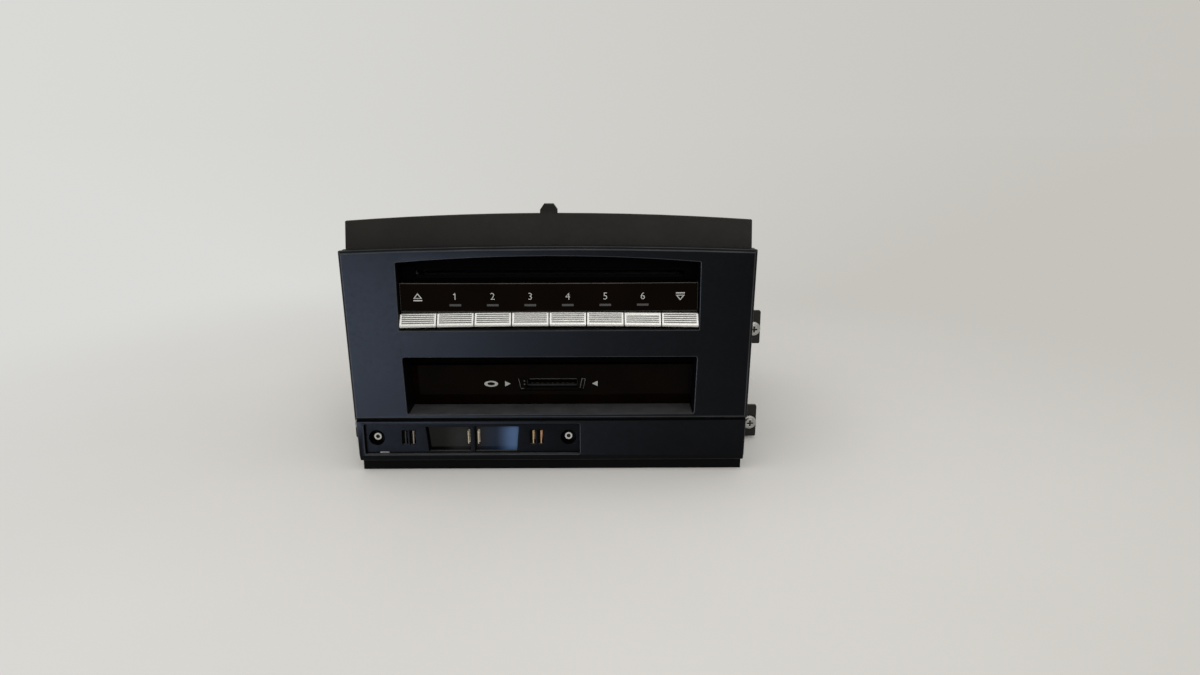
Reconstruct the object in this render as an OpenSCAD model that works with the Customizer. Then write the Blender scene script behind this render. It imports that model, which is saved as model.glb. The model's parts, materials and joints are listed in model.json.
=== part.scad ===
// Dash-mounted navigation radio with a six-disc changer.
// Millimetres. +X is the driver's right, +Y goes into the dash, +Z is up.
// The front is modelled from the fascia's face (y = 0) and the base (z = 0),
// and in_frame() then centres the depth on the origin.

/* [Fascia] */
// Width of the fascia across its top corners
fascia_top_w = 191.4; // [187:0.2:198]
// Width of the fascia across its bottom corners
fascia_bottom_w = 186.8; // [183:0.2:194]
// Rise of the fascia's arched top edge
fascia_crown = 1.8; // [1:0.1:3]
// Thickness of the moulded front walls
fascia_wall = 2.4; // [2:0.1:3]
// Depth from the fascia's face to the carrier frame
fascia_d = 9; // [8:0.5:11]
// Chamfer round the fascia's face
edge_chamfer = 1.2; // [0.6:0.1:1.6]
// Thickness of the walls of the two recesses
funnel_wall = 1.6; // [1.2:0.1:2]
// Height of the carrier's strip under the fascia
strip_h = 5.2; // [4:0.1:8]
// Set-back of the carrier's strip behind the fascia's face
strip_setback = 4.4; // [4:0.1:6]
// Height of the lower panel
lower_h = 21.8; // [20:0.1:25]
// Set-back of the lower panel behind the fascia's face
lower_setback = 1.5; // [0.8:0.1:2]
// Height of the bevel along the lower panel's bottom edge
lower_bevel_h = 3; // [1.5:0.1:3.2]
// Height of the fascia above the disc recess, at its corners
brow_h = 5.4; // [4.5:0.1:8]

/* [Disc recess] */
// Height of the disc recess at its sides
disc_recess_h = 31.9; // [31:0.1:36]
// Rise of the disc recess's arched top edge
disc_recess_crown = 2.9; // [1:0.1:4]
// Depth of the disc recess
disc_recess_d = 12.5; // [12:0.1:14]
// Height of the gloss label strip
label_h = 13.5; // [12:0.1:14]
// Bulge of the label strip towards the driver
label_bulge = 1; // [0.6:0.1:1.5]
// Depth of the label strip's ends
label_t = 2.5; // [2.2:0.1:3]
// Depth of the light guide behind the label strip
light_guide_t = 6.5; // [6:0.1:7]
// Height of the disc mouth
slot_h = 5; // [4.6:0.1:5.4]
// Width of the disc mouth
slot_w = 127; // [124:0.5:130]

/* [Keys] */
// Distance from one key to the next
key_pitch = 17.4; // [16.8:0.1:18]
// Gap between neighbouring keys
key_gap = 0.5; // [0.3:0.1:0.8]
// Gap between the end keys and the recess
key_side_gap = 0.35; // [0.2:0.05:0.6]
// Gap under the keys
key_under_gap = 1; // [0.6:0.1:1.4]
// How far the keys stand proud of the fascia
key_proud = 0.9; // [0.4:0.1:1.5]
// Radius of a key's rounded nose
key_nose_r = 6.4; // [5:0.1:7]
// Slope of a key's ridged face
key_slope = 60; // [56:1:64]
// Length of a key's ridged face
key_ramp = 4.4; // [4:0.1:5]
// Grooves across a key's face
key_grooves = 5; // [3:1:7]
// Depth of a key's grooves
key_groove_d = 0.3; // [0.2:0.05:0.4]
// Plain rim at each end of a key's grooves
key_rim = 0.9; // [0.6:0.1:1.5]
// Free travel between a key and its guide
key_travel_room = 1.5; // [1.4:0.1:2]
// Thickness of the key guide
key_guide_t = 2.5; // [2:0.1:3]
// Side of a key's square guide leg
key_leg = 3; // [2.5:0.1:3.5]
// Height of the web between the two recesses
web_h = 13; // [11:0.5:18]

/* [Card recess] */
// Height of the card recess
card_recess_h = 28.1; // [27:0.1:32]
// How much narrower than the disc recess the card recess is at its top, on each side
card_top_inset = 0.6; // [0:0.1:1.2]
// How much narrower than the disc recess the card recess is at its bottom, on each side
card_bottom_inset = 1.4; // [0.5:0.1:2]
// Depth of the card recess
card_recess_d = 15; // [13.5:0.1:16]
// Height of the sill under the card recess
card_sill_h = 2.8; // [2.5:0.1:4]
// Height of the gloss card panel
card_panel_h = 20.2; // [18:0.1:24]
// Thickness of the card panel
card_panel_t = 3; // [2.5:0.1:3.5]
// Width of the card slot
card_slot_w = 25.2; // [24.6:0.1:27]
// Height of the card slot
card_slot_h = 4.6; // [4.4:0.1:5]
// Width of the shallow pocket round the card slot
card_pocket_w = 34; // [31:0.5:40]
// Height of the shallow pocket round the card slot
card_pocket_h = 6.4; // [6:0.1:8]
// Depth of the shallow pocket round the card slot
card_pocket_d = 1.2; // [0.8:0.1:1.6]

/* [Service bay] */
// Width of the bay's opening
bay_w = 103.9; // [98:0.1:108]
// Height of the bay's opening
bay_h = 15.6; // [15:0.1:16]
// Distance from the panel's left edge to the bay
bay_margin = 2.9; // [2.2:0.1:4]
// Distance from the panel's bottom edge to the bay
bay_sill = 3.5; // [3:0.1:3.6]
// Distance of the bay's screws from its ends
bay_screw_margin = 5.5; // [5.2:0.1:8]
// Distance of the outer spring clips from the bay's middle
bay_clip_x = 31; // [29:0.1:34]
// Width of one window in the bay
bay_window_w = 21.3; // [19:0.1:23]
// Height of one window in the bay
bay_window_h = 12.6; // [10:0.1:13]

/* [Carrier] */
// How much narrower than the fascia the carrier is on each side
carrier_inset = 1.2; // [0.5:0.1:1.5]
// Thickness of the carrier's plate
carrier_t = 2.5; // [2:0.1:3]
// Height of the visor above the fascia's top corners
visor_h = 12.2; // [11:0.1:16]
// Rise of the visor's arched top edge
visor_crown = 3.2; // [2:0.1:5]
// How far the visor leans back
visor_lean = 4.5; // [2:0.1:6]
// Width of the locating tab's foot
tab_w = 8; // [6:0.1:12]
// Width of the locating tab's top
tab_top_w = 4.4; // [3:0.1:5]
// Height of the locating tab above the visor
tab_h = 4.3; // [3:0.1:6]

/* [Housing] */
// Width of the steel housing
chassis_w = 178; // [174:1:181]
// Thickness of the sheet steel
sheet_t = 1; // [0.8:0.1:1.2]
// Depth of the carrier from its plate to the housing
carrier_d = 8.5; // [7:0.1:10]
// Width of the housing's folded front flange
flange_w = 8; // [5:0.5:9]
// Vent slots in one bank of the cover
vent_count = 9; // [5:1:11]
// Length of a vent slot
vent_len = 36; // [20:1:44]
// Thickness of the side brackets
bracket_t = 1.6; // [1.2:0.1:2]
// Length of the side brackets
bracket_len = 86; // [80:1:96]
// Reach of the ears beyond the side brackets
ear_reach = 16.1; // [14:0.1:18]
// Height of one ear
ear_h = 17.4; // [15:0.1:20]
// Height of the lower ears above the base
ear_low_z = 1.2; // [1:0.1:6]
// Distance from the lower ears to the upper ones
ear_pitch = 51.3; // [45:0.1:56]
// Distance from the housing's front to the ears
ear_setback = 24; // [18:0.5:28]
// Radius of the ear screws' shank
ear_screw_r = 2; // [1.5:0.1:2.5]
// Length of the ear screws behind the ears
ear_screw_len = 12; // [8:0.5:16]

/* [Changer] */
// Diameter of a disc
disc_d = 120; // [118:1:122]
// Thickness of a disc
disc_t = 1.2; // [1:0.1:1.5]
// Thickness of a disc tray
tray_t = 1.2; // [1:0.1:1.4]
// Distance from one disc tray to the next
tray_pitch = 2.8; // [2.6:0.1:2.9]
// Height of the mechanism's deck above the base
deck_z = 50; // [47:0.5:52]
// Distance from the housing's front to the loading roller
roller_setback = 10; // [9.5:0.1:12]
// Radius of the loading roller at its ends
roller_r = 4; // [3.5:0.1:4.3]
// Radius of the roller's shaft
roller_shaft_r = 1.5; // [1.2:0.1:1.8]
// Size of the gear teeth
gear_module = 0.8; // [0.7:0.05:0.82]
// Teeth of the roller's gear
roller_teeth = 16; // [14:1:16]
// Teeth of the motor's pinion
pinion_teeth = 9; // [8:1:10]
// Radius of the tray posts
post_r = 2; // [1.5:0.1:2.5]
// Radius of the turntable
turntable_r = 13; // [11:0.5:14]

/* [Rear] */
// Side of the square fan
fan_size = 50; // [46:1:52]
// Thickness of the fan
fan_t = 15; // [12:0.5:15.5]
// Room behind the disc trays
rear_room = 10; // [8:0.5:16]
// How far the sockets stand out of the rear plate
socket_proud = 4; // [2:0.5:6]
// Width of the power socket
power_w = 46; // [40:1:48]
// Height of the power socket
power_h = 30; // [24:1:34]
// Side of one antenna socket
antenna_size = 10; // [9:0.5:12]
// Distance from one antenna socket to the next
antenna_pitch = 13; // [12.5:0.5:14]

/* [Hidden] */

$fn = 48;
// Segments of the shallow arcs, whose radii are large
arc_fn = 1440;
// Overshoot of a cut past the face that it opens
cut = 1;
// Gap between neighbouring trim pieces
part_gap = 0.3;
// Radial clearance of a screw or shaft in a plain hole
hole_clear = 0.2;
// Radial clearance of a turning or sliding shaft
run_clear = 0.05;
// Thickness of the printed circuit boards
board_t = 1.6;

// Heights, from the base up
lower_z0 = strip_h;
fold_z = lower_z0 + lower_h;
card_z0 = fold_z + card_sill_h;
card_z1 = card_z0 + card_recess_h;
disc_z0 = card_z1 + web_h;
disc_z1 = disc_z0 + disc_recess_h;
fascia_z1 = disc_z1 + brow_h;
visor_z1 = fascia_z1 + visor_h;

// Keys
KEY_NODES = ["eject_key", "disc_key_1", "disc_key_2", "disc_key_3", "disc_key_4", "disc_key_5", "disc_key_6",
    "load_key"];
key_count = len(KEY_NODES);
recess_w = key_count * key_pitch - key_gap + 2 * key_side_gap;
key_z0 = disc_z0 + key_under_gap;
key_ramp_foot = [key_nose_r * (1 - sin(key_slope)) - key_proud, key_z0 + key_nose_r * cos(key_slope)];
key_ramp_top = key_ramp_foot + key_ramp * [cos(key_slope), sin(key_slope)];
key_z1 = key_ramp_top[1];
key_back = disc_recess_d - key_travel_room;
key_guide_y1 = disc_recess_d + key_guide_t;
key_leg_x = 5;
key_leg_z = key_z0 + 1.6;
key_leg_clear = 0.15;
key_hook = 0.8;
key_hook_gap = 0.2;
key_leg_end = key_guide_y1 + 2;
key_plunger_r = 1.5;
key_plunger_end = key_guide_y1 + 1.3;
dome_y0 = key_plunger_end + 1.4;
dome_h = 1;
mat_y0 = dome_y0 + dome_h;
mat_t = 1;
key_board_y0 = mat_y0 + mat_t;

// Label strip and disc mouth
label_clear = 0.35;
label_w = recess_w - 2 * label_clear - part_gap;
label_z0 = key_z1 + label_clear;
label_z1 = label_z0 + label_h;
label_back = disc_recess_d - light_guide_t;
label_roof_t = 1.2;
label_front = label_back - label_t;
mask_split = 5.5;
mask_z0 = label_z1 - mask_split;
slot_z0 = label_z1 + part_gap;
slot_z1 = slot_z0 + slot_h;
disc_z = slot_z0 + slot_h / 2;
lip_t = 1.2;
lip_gap = 2.2;
lip_h = 3;

// Card reader
card_panel_z1 = card_z0 + card_panel_h;
card_panel_y1 = card_recess_d + card_panel_t;
card_carrier_t = 2;
card_carrier_y1 = card_panel_y1 + card_carrier_t;
card_z = card_z0 + card_panel_h / 2 - 0.15;
card_channel_w = 24.6;
card_channel_h = 2.6;
socket_wall = 0.6;
slider_w = 2.2;
slider_len = 8;
slider_clear = 0.1;
socket_len = 28;
socket_z0 = card_z - card_channel_h / 2 - socket_wall;
socket_side = card_channel_w / 2 + slider_w + 2 * slider_clear + socket_wall;
card_board_z0 = socket_z0 - board_t;

// Service bay
lower_half = fascia_bottom_w / 2 - part_gap;
rim_wall = 2;
bay_x0 = bay_margin - lower_half;
bay_x = bay_x0 + bay_w / 2;
bay_z0 = lower_z0 + bay_sill;
bay_z1 = bay_z0 + bay_h;
bay_z = (bay_z0 + bay_z1) / 2;
bay_overlap = 1.3;
bay_screw_x = bay_w / 2 - bay_screw_margin;
lower_back = lower_setback + fascia_wall;
bay_plate_t = 2;
bay_plate_y1 = lower_back + bay_plate_t;
bay_boss_r = 4.4;
bay_counterbore_r = 3.7;
bay_ledge_t = 0.9;
bay_head_r = 2.4;
bay_head_t = 2.2;
bay_screw_reach = 3;
small_screw_r = 1.25;
pilot_clear = 0.05;
bay_window_z0 = bay_z0 + 0.7;
bay_window_gap = 2.4;
bay_window_slant = 1.2;
bay_lens_t = 2.1;
clip_slot_w = 2.6;
clip_slot_h = 7.2;
clip_bridge = 1.2;
leaf_t = 0.5;
leaf_h = 6.6;

// Carrier
carrier_y0 = fascia_d;
carrier_y1 = carrier_y0 + carrier_t;
carrier_bottom_w = fascia_bottom_w - 2 * carrier_inset;
carrier_top_w = fascia_top_w - 2 * carrier_inset;
window_room = 3.6;
window_half = recess_w / 2 + funnel_wall + window_room;
window_z0 = fold_z + 0.8;
window_z1 = disc_z1 + disc_recess_crown + funnel_wall + 0.5;
boss_r = 3.2;
boss_x = window_half + boss_r + 2.8;
boss_depth = 6;
tab_t = 4;

// Housing
chassis_y0 = carrier_y1 + carrier_d;
chassis_half = chassis_w / 2;
inner_half = chassis_half - sheet_t;
flange_x = max(inner_half - flange_w, recess_w / 2 + funnel_wall + part_gap);
cover_z0 = slot_z1 + 0.2;
cover_z1 = cover_z0 + sheet_t;
roller_y = chassis_y0 + roller_setback;
tray_y0 = roller_y + 7;
tray_y1 = tray_y0 + disc_d;
rear_y0 = tray_y1 + rear_room;
rear_y1 = rear_y0 + sheet_t;
socket_y1 = rear_y1 + socket_proud;
cover_lip_h = 7;
cover_screw_z = cover_z0 - cover_lip_h / 2;
cover_screw_ys = [for (share = [0.15, 0.5, 0.85]) chassis_y0 + share * (rear_y1 - chassis_y0)];
case_screw_r = 1.5;
case_head_r = 2.6;
case_head_t = 1.6;
boss_zs = [card_z0 + 8, (card_z1 + disc_z0) / 2, cover_z0 - case_head_r - 1];
ear_y0 = chassis_y0 + ear_setback;
ear_y1 = ear_y0 + bracket_t;
bracket_x1 = chassis_half + bracket_t;
ear_x1 = bracket_x1 + ear_reach;
bracket_z1 = cover_screw_z - case_head_r - 2;
flange_screw_r = 3.6;
flange_screw_t = 1;
ear_head_r = 2.5;
ear_head_t = 1.8;
// The screws are captive: their neck is thinner than the thread that starts behind the ear
ear_neck_r = ear_screw_r - 0.4;
ear_neck_y1 = ear_y1 + 1;
ear_screw_x = ear_x1 - flange_screw_r;
ear_screw_z = ear_low_z + ear_h / 2 - 0.7;
bracket_screw_r = 2;
bracket_head_r = 3.2;
bracket_head_t = 2;
bracket_margin = 9;
bracket_screws_yz = [
    [ear_y0 + bracket_margin + 5, bracket_z1 - bracket_margin],
    [ear_y0 + bracket_len - bracket_margin, bracket_z1 - bracket_margin],
    [ear_y0 + bracket_len / 2, ear_low_z + bracket_margin]];

// Electronics and rear sockets
standoff_h = 4;
standoff_r = 3;
main_board_z0 = sheet_t + standoff_h;
main_board_z1 = main_board_z0 + board_t;
main_board_y0 = chassis_y0 + 42;
main_board_y1 = rear_y0 - 7;
main_board_half = inner_half - 6;
standoff_inset = 8;
socket_body = 20;
antenna_count = 3;
optical_w = 12;
rear_spare = 2 * inner_half - power_w - antenna_count * antenna_pitch - optical_w - fan_size;
power_x0 = 0.35 * rear_spare - inner_half;
antenna_x0 = power_x0 + power_w + 0.25 * rear_spare + antenna_pitch / 2;
antenna_r = 2.4;
optical_h = 10;
optical_x0 = antenna_x0 + (antenna_count - 0.5) * antenna_pitch + 0.1 * rear_spare;
fan_x = inner_half - 0.15 * rear_spare - fan_size / 2;
fan_z = fan_size / 2 + 11;
fan_y0 = rear_y0 - fan_t;
fan_bore_r = fan_size / 2 - 1.4;
fan_hub_r = 10;
fan_arm_t = 3;
fan_shaft_r = 1.5;
fan_screw_inset = 5;
blade_count = 7;
blade_t = 1.2;
blade_pitch = 40;
blade_clear = 0.8;

// Disc mechanism
mech_half = disc_d / 2 + 6.2;
mech_wall = 1.2;
mech_y0 = chassis_y0 + 6;
mech_y1 = fan_y0 - 0.4;
deck_z1 = deck_z + mech_wall;
mech_z1 = cover_z0 - 0.5;
wing_w = 10;
tray_half = disc_d / 2 + 1.5;
tray_z1 = disc_z - disc_t / 2 - 0.1;
post_x = tray_half - post_r - 2.5;
post_ys = [tray_y0 + post_r + 4, mech_y1 - post_r - 1];
post_clear = 0.15;
tray_boss_r = post_r + 1.8;
disc_y = tray_y0 + disc_d / 2 - 1;
tray_hub_r = 24;
roller_z = disc_z - disc_t / 2 - 0.15 - roller_r;
roller_waist = 0.8;
gear_t = 3;
gear_gap = 0.6;
mesh_play = 0.12;
pinion_z = roller_z - gear_module * (roller_teeth + pinion_teeth) / 2 - mesh_play;
pinion_bore_r = 1;
motor_r = roller_z - pinion_z - roller_r - 0.5;
motor_len = 24;
spindle_r = 12;
spindle_h = 6;
spindle_shaft_r = 1;
turntable_z0 = deck_z1 + spindle_h + 1.8;
turntable_t = 3;
nub_h = 3.5;
rod_z0 = deck_z1 + 5.8;
rod_r = 1.25;
rod_y = disc_y - 17;
screw_y = disc_y + 20;
lug_t = 3;
lug_w = 6;
rod_x0 = lug_t + 1 - mech_half + mech_wall;
rod_x1 = -turntable_r;
sled_w = 16;
sled_x1 = rod_x1 - lug_t - 1;
sled_z0 = deck_z1 + 2.3;
sled_h = 7;
lens_r = 3.2;
sled_motor_r = 5;
sled_motor_len = 20;

// Depth that is centred on the origin
mid_y = (socket_y1 - key_proud) / 2;

module in_frame() { translate([0, -mid_y, 0]) children(); }

// A front view drawn in X and Z, from y0 to y1
module plate_y(y0, y1) {
    translate([0, y1, 0]) rotate([90, 0, 0]) linear_extrude(y1 - y0) children();
}

// A side view drawn in Y and Z, from x0 to x1
module plate_x(x0, x1) {
    translate([x0, 0, 0]) rotate([90, 0, 90]) linear_extrude(x1 - x0) children();
}

// A plan drawn in X and Y, from z0 to z1
module plate_z(z0, z1) {
    translate([0, 0, z0]) linear_extrude(z1 - z0) children();
}

module box(low, high) { translate(low) cube(high - low); }

module rod_x(x0, x1, y, z, r) { translate([x0, y, z]) rotate([0, 90, 0]) cylinder(h = x1 - x0, r = r); }

module rod_y(y0, y1, x, z, r) { translate([x, y1, z]) rotate([90, 0, 0]) cylinder(h = y1 - y0, r = r); }

module rod_z(z0, z1, x, y, r) { translate([x, y, z0]) cylinder(h = z1 - z0, r = r); }

module rectangle(x0, x1, z0, z1) { translate([x0, z0]) square([x1 - x0, z1 - z0]); }

module round_rectangle(x0, x1, z0, z1, r) {
    rectangle(x0 + r, x1 - r, z0, z1);
    rectangle(x0, x1, z0 + r, z1 - r);
    for (x = [x0 + r, x1 - r], z = [z0 + r, z1 - r]) translate([x, z]) circle(r = r);
}

// Trapezoid with an arched top edge
module arched_outline(bottom_w, top_w, z0, z1, crown, inset = 0) {
    radius = (top_w * top_w / 4 + crown * crown) / (2 * crown);
    top = z1 + crown;
    intersection() {
        polygon([[inset - bottom_w / 2, z0 + inset], [bottom_w / 2 - inset, z0 + inset],
            [top_w / 2 - inset, top], [inset - top_w / 2, top]]);
        translate([0, top - radius]) circle(r = radius - inset, $fn = arc_fn);
    }
}

function fascia_w(z) =
    fascia_bottom_w + (fascia_top_w - fascia_bottom_w) * (z - lower_z0) / (fascia_z1 - lower_z0);

module fascia_outline(inset) {
    arched_outline(fascia_w(fold_z), fascia_top_w, fold_z, fascia_z1, fascia_crown, inset);
}

module lower_outline(inset) {
    top = fold_z - part_gap;
    bottom_half = lower_half - inset;
    top_half = fascia_w(fold_z) / 2 - part_gap - inset;
    polygon([[-bottom_half, lower_z0 + inset], [bottom_half, lower_z0 + inset],
        [top_half, top - inset], [-top_half, top - inset]]);
}

module disc_recess_outline(grow) {
    arched_outline(recess_w + 2 * grow, recess_w + 2 * grow, disc_z0 - grow, disc_z1 + grow, disc_recess_crown);
}

// Trapezoid with rounded corners
module card_recess_outline(grow) {
    corner = 1;
    r = corner + grow;
    foot = [recess_w / 2 - card_bottom_inset - corner, card_z0 + corner];
    top = [recess_w / 2 - card_top_inset - corner, card_z1 - corner];
    side = (top - foot) / norm(top - foot);
    out = r * [side[1], -side[0]];
    right = [[foot[0], foot[1] - r], foot + out, top + out, [top[0], top[1] + r]];
    left = [for (i = [3 : -1 : 0]) [-right[i][0], right[i][1]]];
    polygon(concat(right, left));
    for (centre = [foot, top], flip = [-1, 1]) translate([flip * centre[0], centre[1]]) circle(r = r);
}

module at_bosses() {
    for (side = [-1, 1], z = boss_zs) translate([side * boss_x, 0, z]) children();
}

module at_bay_screws() {
    for (side = [-1, 1]) translate([bay_x + side * bay_screw_x, 0, bay_z]) children();
}

module front_panel() {
    face_t = 0.02;
    color("#24272d") in_frame() difference() {
        union() {
            hull() {
                plate_y(0, face_t) fascia_outline(edge_chamfer);
                plate_y(edge_chamfer, fascia_wall) fascia_outline(0);
            }
            plate_y(fascia_wall, fascia_d) difference() {
                fascia_outline(part_gap);
                fascia_outline(part_gap + rim_wall);
            }
            plate_y(fascia_wall, disc_recess_d) disc_recess_outline(funnel_wall);
            plate_y(fascia_wall, card_recess_d) card_recess_outline(funnel_wall);
            at_bosses() rod_y(fascia_wall, fascia_d, 0, 0, boss_r);
        }
        plate_y(-cut, disc_recess_d + cut) disc_recess_outline(0);
        plate_y(-cut, card_recess_d + cut) card_recess_outline(0);
        at_bosses() rod_y(fascia_d - boss_depth, fascia_d + cut, 0, 0, small_screw_r + pilot_clear);
    }
}

module lower_panel() {
    top = fold_z - part_gap;
    color("#17191d") in_frame() difference() {
        union() {
            intersection() {
                plate_x(-fascia_top_w, fascia_top_w) polygon([[lower_back, lower_z0],
                    [lower_setback + fascia_wall / 2, lower_z0], [lower_setback, lower_z0 + lower_bevel_h],
                    [lower_setback, top - edge_chamfer], [lower_setback + edge_chamfer, top], [lower_back, top]]);
                plate_y(0, fascia_d) lower_outline(0);
            }
            plate_y(lower_back, fascia_d) difference() {
                lower_outline(0);
                lower_outline(rim_wall);
            }
        }
        plate_y(-cut, lower_back) round_rectangle(bay_x0, bay_x0 + bay_w, bay_z0, bay_z1, 1);
    }
}

module visor_profile() {
    foot = fascia_z1 - 4;
    top = visor_z1 + visor_crown + cut;
    polygon([[carrier_y0, foot], [carrier_y0, fascia_z1], [carrier_y0 + visor_lean, top],
        [carrier_y1 + visor_lean, top], [carrier_y1, fascia_z1], [carrier_y1, foot]]);
}

module carrier_frame() {
    tab_y0 = carrier_y0 + visor_lean - 0.5;
    tab_foot = fascia_z1 + visor_h / 2;
    tab_top = visor_z1 + visor_crown + tab_h;
    rim_top = cover_z1 + 1;
    strip_half = carrier_bottom_w / 2;
    strip_z1 = strip_h - part_gap;
    color("#2a2a28") in_frame() difference() {
        union() {
            difference() {
                box([-strip_half, strip_setback, 0], [strip_half, carrier_y1, strip_z1]);
                box([rim_wall - strip_half, strip_setback + rim_wall, -cut],
                    [strip_half - rim_wall, carrier_y0, strip_z1 - rim_wall]);
            }
            plate_y(carrier_y0, carrier_y1) intersection() {
                arched_outline(carrier_bottom_w, carrier_top_w, 0, visor_z1, visor_crown);
                rectangle(-fascia_top_w, fascia_top_w, 0, fascia_z1);
            }
            intersection() {
                plate_x(-fascia_top_w, fascia_top_w) visor_profile();
                plate_y(carrier_y0, chassis_y0)
                    arched_outline(carrier_bottom_w, carrier_top_w, 0, visor_z1, visor_crown);
            }
            plate_y(carrier_y1, chassis_y0) difference() {
                rectangle(-chassis_half, chassis_half, 0, rim_top);
                rectangle(flange_w / 4 - inner_half, inner_half - flange_w / 4, rim_wall, cover_z0);
            }
            plate_y(tab_y0, tab_y0 + tab_t) polygon([[-tab_w / 2, tab_foot], [tab_w / 2, tab_foot],
                [tab_w / 2, tab_top - tab_h * 0.6], [tab_top_w / 2, tab_top], [-tab_top_w / 2, tab_top],
                [-tab_w / 2, tab_top - tab_h * 0.6]]);
        }
        plate_y(carrier_y0 - cut, key_guide_y1 + lip_t + part_gap)
            rectangle(-window_half, window_half, window_z0, window_z1);
        at_bosses() {
            rod_y(carrier_y0 - cut, carrier_y1 + cut, 0, 0, small_screw_r + hole_clear);
            rod_y(carrier_y1, carrier_y1 + case_head_t + part_gap, 0, 0, case_head_r + part_gap);
        }
        at_bay_screws()
            rod_y(carrier_y0 - cut, carrier_y1 + bay_screw_reach + part_gap, 0, 0, small_screw_r + pilot_clear);
    }
}

module label_strip() {
    half = label_w / 2;
    radius = (half * half + label_bulge * label_bulge) / (2 * label_bulge);
    steps = 48;
    front = [for (step = [0 : steps]) let (x = half * (2 * step / steps - 1))
        [x, label_front - label_bulge + radius - sqrt(radius * radius - x * x)]];
    color("#0b0a09") in_frame() {
        plate_z(label_z0, label_z1) polygon(concat(front, [[half, label_back], [-half, label_back]]));
        box([-half, label_back - 1, label_z1 - label_roof_t], [half, disc_recess_d - part_gap, label_z1]);
    }
}

module light_guide() {
    margin = 3;
    color("#d8dde0") in_frame() box([margin - label_w / 2, label_back, label_z0 + margin - 1],
        [label_w / 2 - margin, disc_recess_d, mask_z0 - 1]);
}

module slot_mask() {
    color("#0d0d0e") in_frame() difference() {
        plate_y(disc_recess_d, key_guide_y1) intersection() {
            disc_recess_outline(funnel_wall);
            rectangle(-fascia_top_w, fascia_top_w, mask_z0, fascia_z1);
        }
        plate_y(disc_recess_d - cut, key_guide_y1 + cut)
            round_rectangle(-slot_w / 2, slot_w / 2, slot_z0, slot_z1, 1);
    }
}

module dust_lips() {
    half = slot_w / 2 + 2;
    color("#19191a") in_frame() for (z = [disc_z + lip_gap / 2, disc_z - lip_gap / 2 - lip_h])
        box([-half, key_guide_y1, z], [half, key_guide_y1 + lip_t, z + lip_h]);
}

// Side view of a key: sloping face, rounded nose, flat underside and back
module key_profile() {
    nose_centre = [key_nose_r - key_proud, key_z0];
    nose_steps = 10;
    nose = [for (i = [0 : nose_steps]) let (turn = 180 - (90 - key_slope) * i / nose_steps)
        nose_centre + key_nose_r * [cos(turn), sin(turn)]];
    polygon(concat(nose, [key_ramp_top, [key_back, key_z1], [key_back, key_z0]]));
}

// Side view of the grooves in a key's sloping face
module key_groove_profile() {
    along = [cos(key_slope), sin(key_slope)];
    inward = [sin(key_slope), -cos(key_slope)];
    pitch = key_ramp / (key_grooves + 0.5);
    for (i = [0 : key_grooves - 1]) {
        start = key_ramp_foot + along * (i + 0.6) * pitch;
        end = start + along * pitch / 2;
        polygon([start - inward * key_groove_d, start + inward * key_groove_d, end + inward * key_groove_d,
            end - inward * key_groove_d]);
    }
}

module key(index) {
    half = (key_pitch - key_gap) / 2;
    leg_z1 = key_leg_z + key_leg;
    color("#c3c4c0") in_frame() translate([(index - (key_count - 1) / 2) * key_pitch, 0, 0]) {
        difference() {
            plate_x(-half, half) key_profile();
            plate_x(key_rim - half, half - key_rim) key_groove_profile();
        }
        for (side = [-1, 1]) {
            x0 = side * key_leg_x - key_leg / 2;
            box([x0, key_back, key_leg_z], [x0 + key_leg, key_leg_end, leg_z1]);
            box([x0, key_guide_y1 + key_hook_gap, key_leg_z - key_hook], [x0 + key_leg, key_leg_end, leg_z1]);
        }
        rod_y(key_back, key_plunger_end, 0, key_leg_z + key_leg / 2, key_plunger_r);
    }
}

module key_guide() {
    half = recess_w / 2 + funnel_wall;
    foot = disc_z0 - 5;
    top = mask_z0 - part_gap;
    spacer_r = 2.5;
    spacer_inset = spacer_r + 0.6;
    color("#34363a") in_frame() difference() {
        union() {
            plate_y(disc_recess_d, key_guide_y1) rectangle(-half, half, foot, top);
            for (side = [-1, 1], z = [foot + spacer_inset, top - spacer_inset])
                rod_y(disc_recess_d + 1, key_board_y0, side * (half - spacer_inset), z, spacer_r);
        }
        for (index = [0 : key_count - 1]) translate([(index - (key_count - 1) / 2) * key_pitch, 0, 0]) {
            plate_y(disc_recess_d - cut, key_guide_y1 + cut) for (side = [-1, 1]) {
                x0 = side * key_leg_x - key_leg / 2 - key_leg_clear;
                rectangle(x0, x0 + key_leg + 2 * key_leg_clear, key_leg_z - key_leg_clear,
                    key_leg_z + key_leg + key_leg_clear);
            }
            rod_y(disc_recess_d - cut, key_guide_y1 + cut, 0, key_leg_z + key_leg / 2,
                key_plunger_r + hole_clear);
        }
    }
}

module key_mat() {
    half = recess_w / 2 - 3;
    z = key_leg_z + key_leg / 2;
    mat_half_h = 5;
    color("#8d9296") in_frame() {
        box([-half, mat_y0, z - mat_half_h], [half, key_board_y0, z + mat_half_h]);
        for (index = [0 : key_count - 1])
            translate([(index - (key_count - 1) / 2) * key_pitch, mat_y0, z]) rotate([90, 0, 0])
                cylinder(h = dome_h, r1 = key_plunger_r + 1.6, r2 = key_plunger_r + 0.4);
    }
}

module key_board() {
    half = recess_w / 2 + funnel_wall;
    color("#1f5c38") in_frame()
        box([-half, key_board_y0, disc_z0 - 5], [half, key_board_y0 + board_t, mask_z0 - part_gap]);
}

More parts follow.
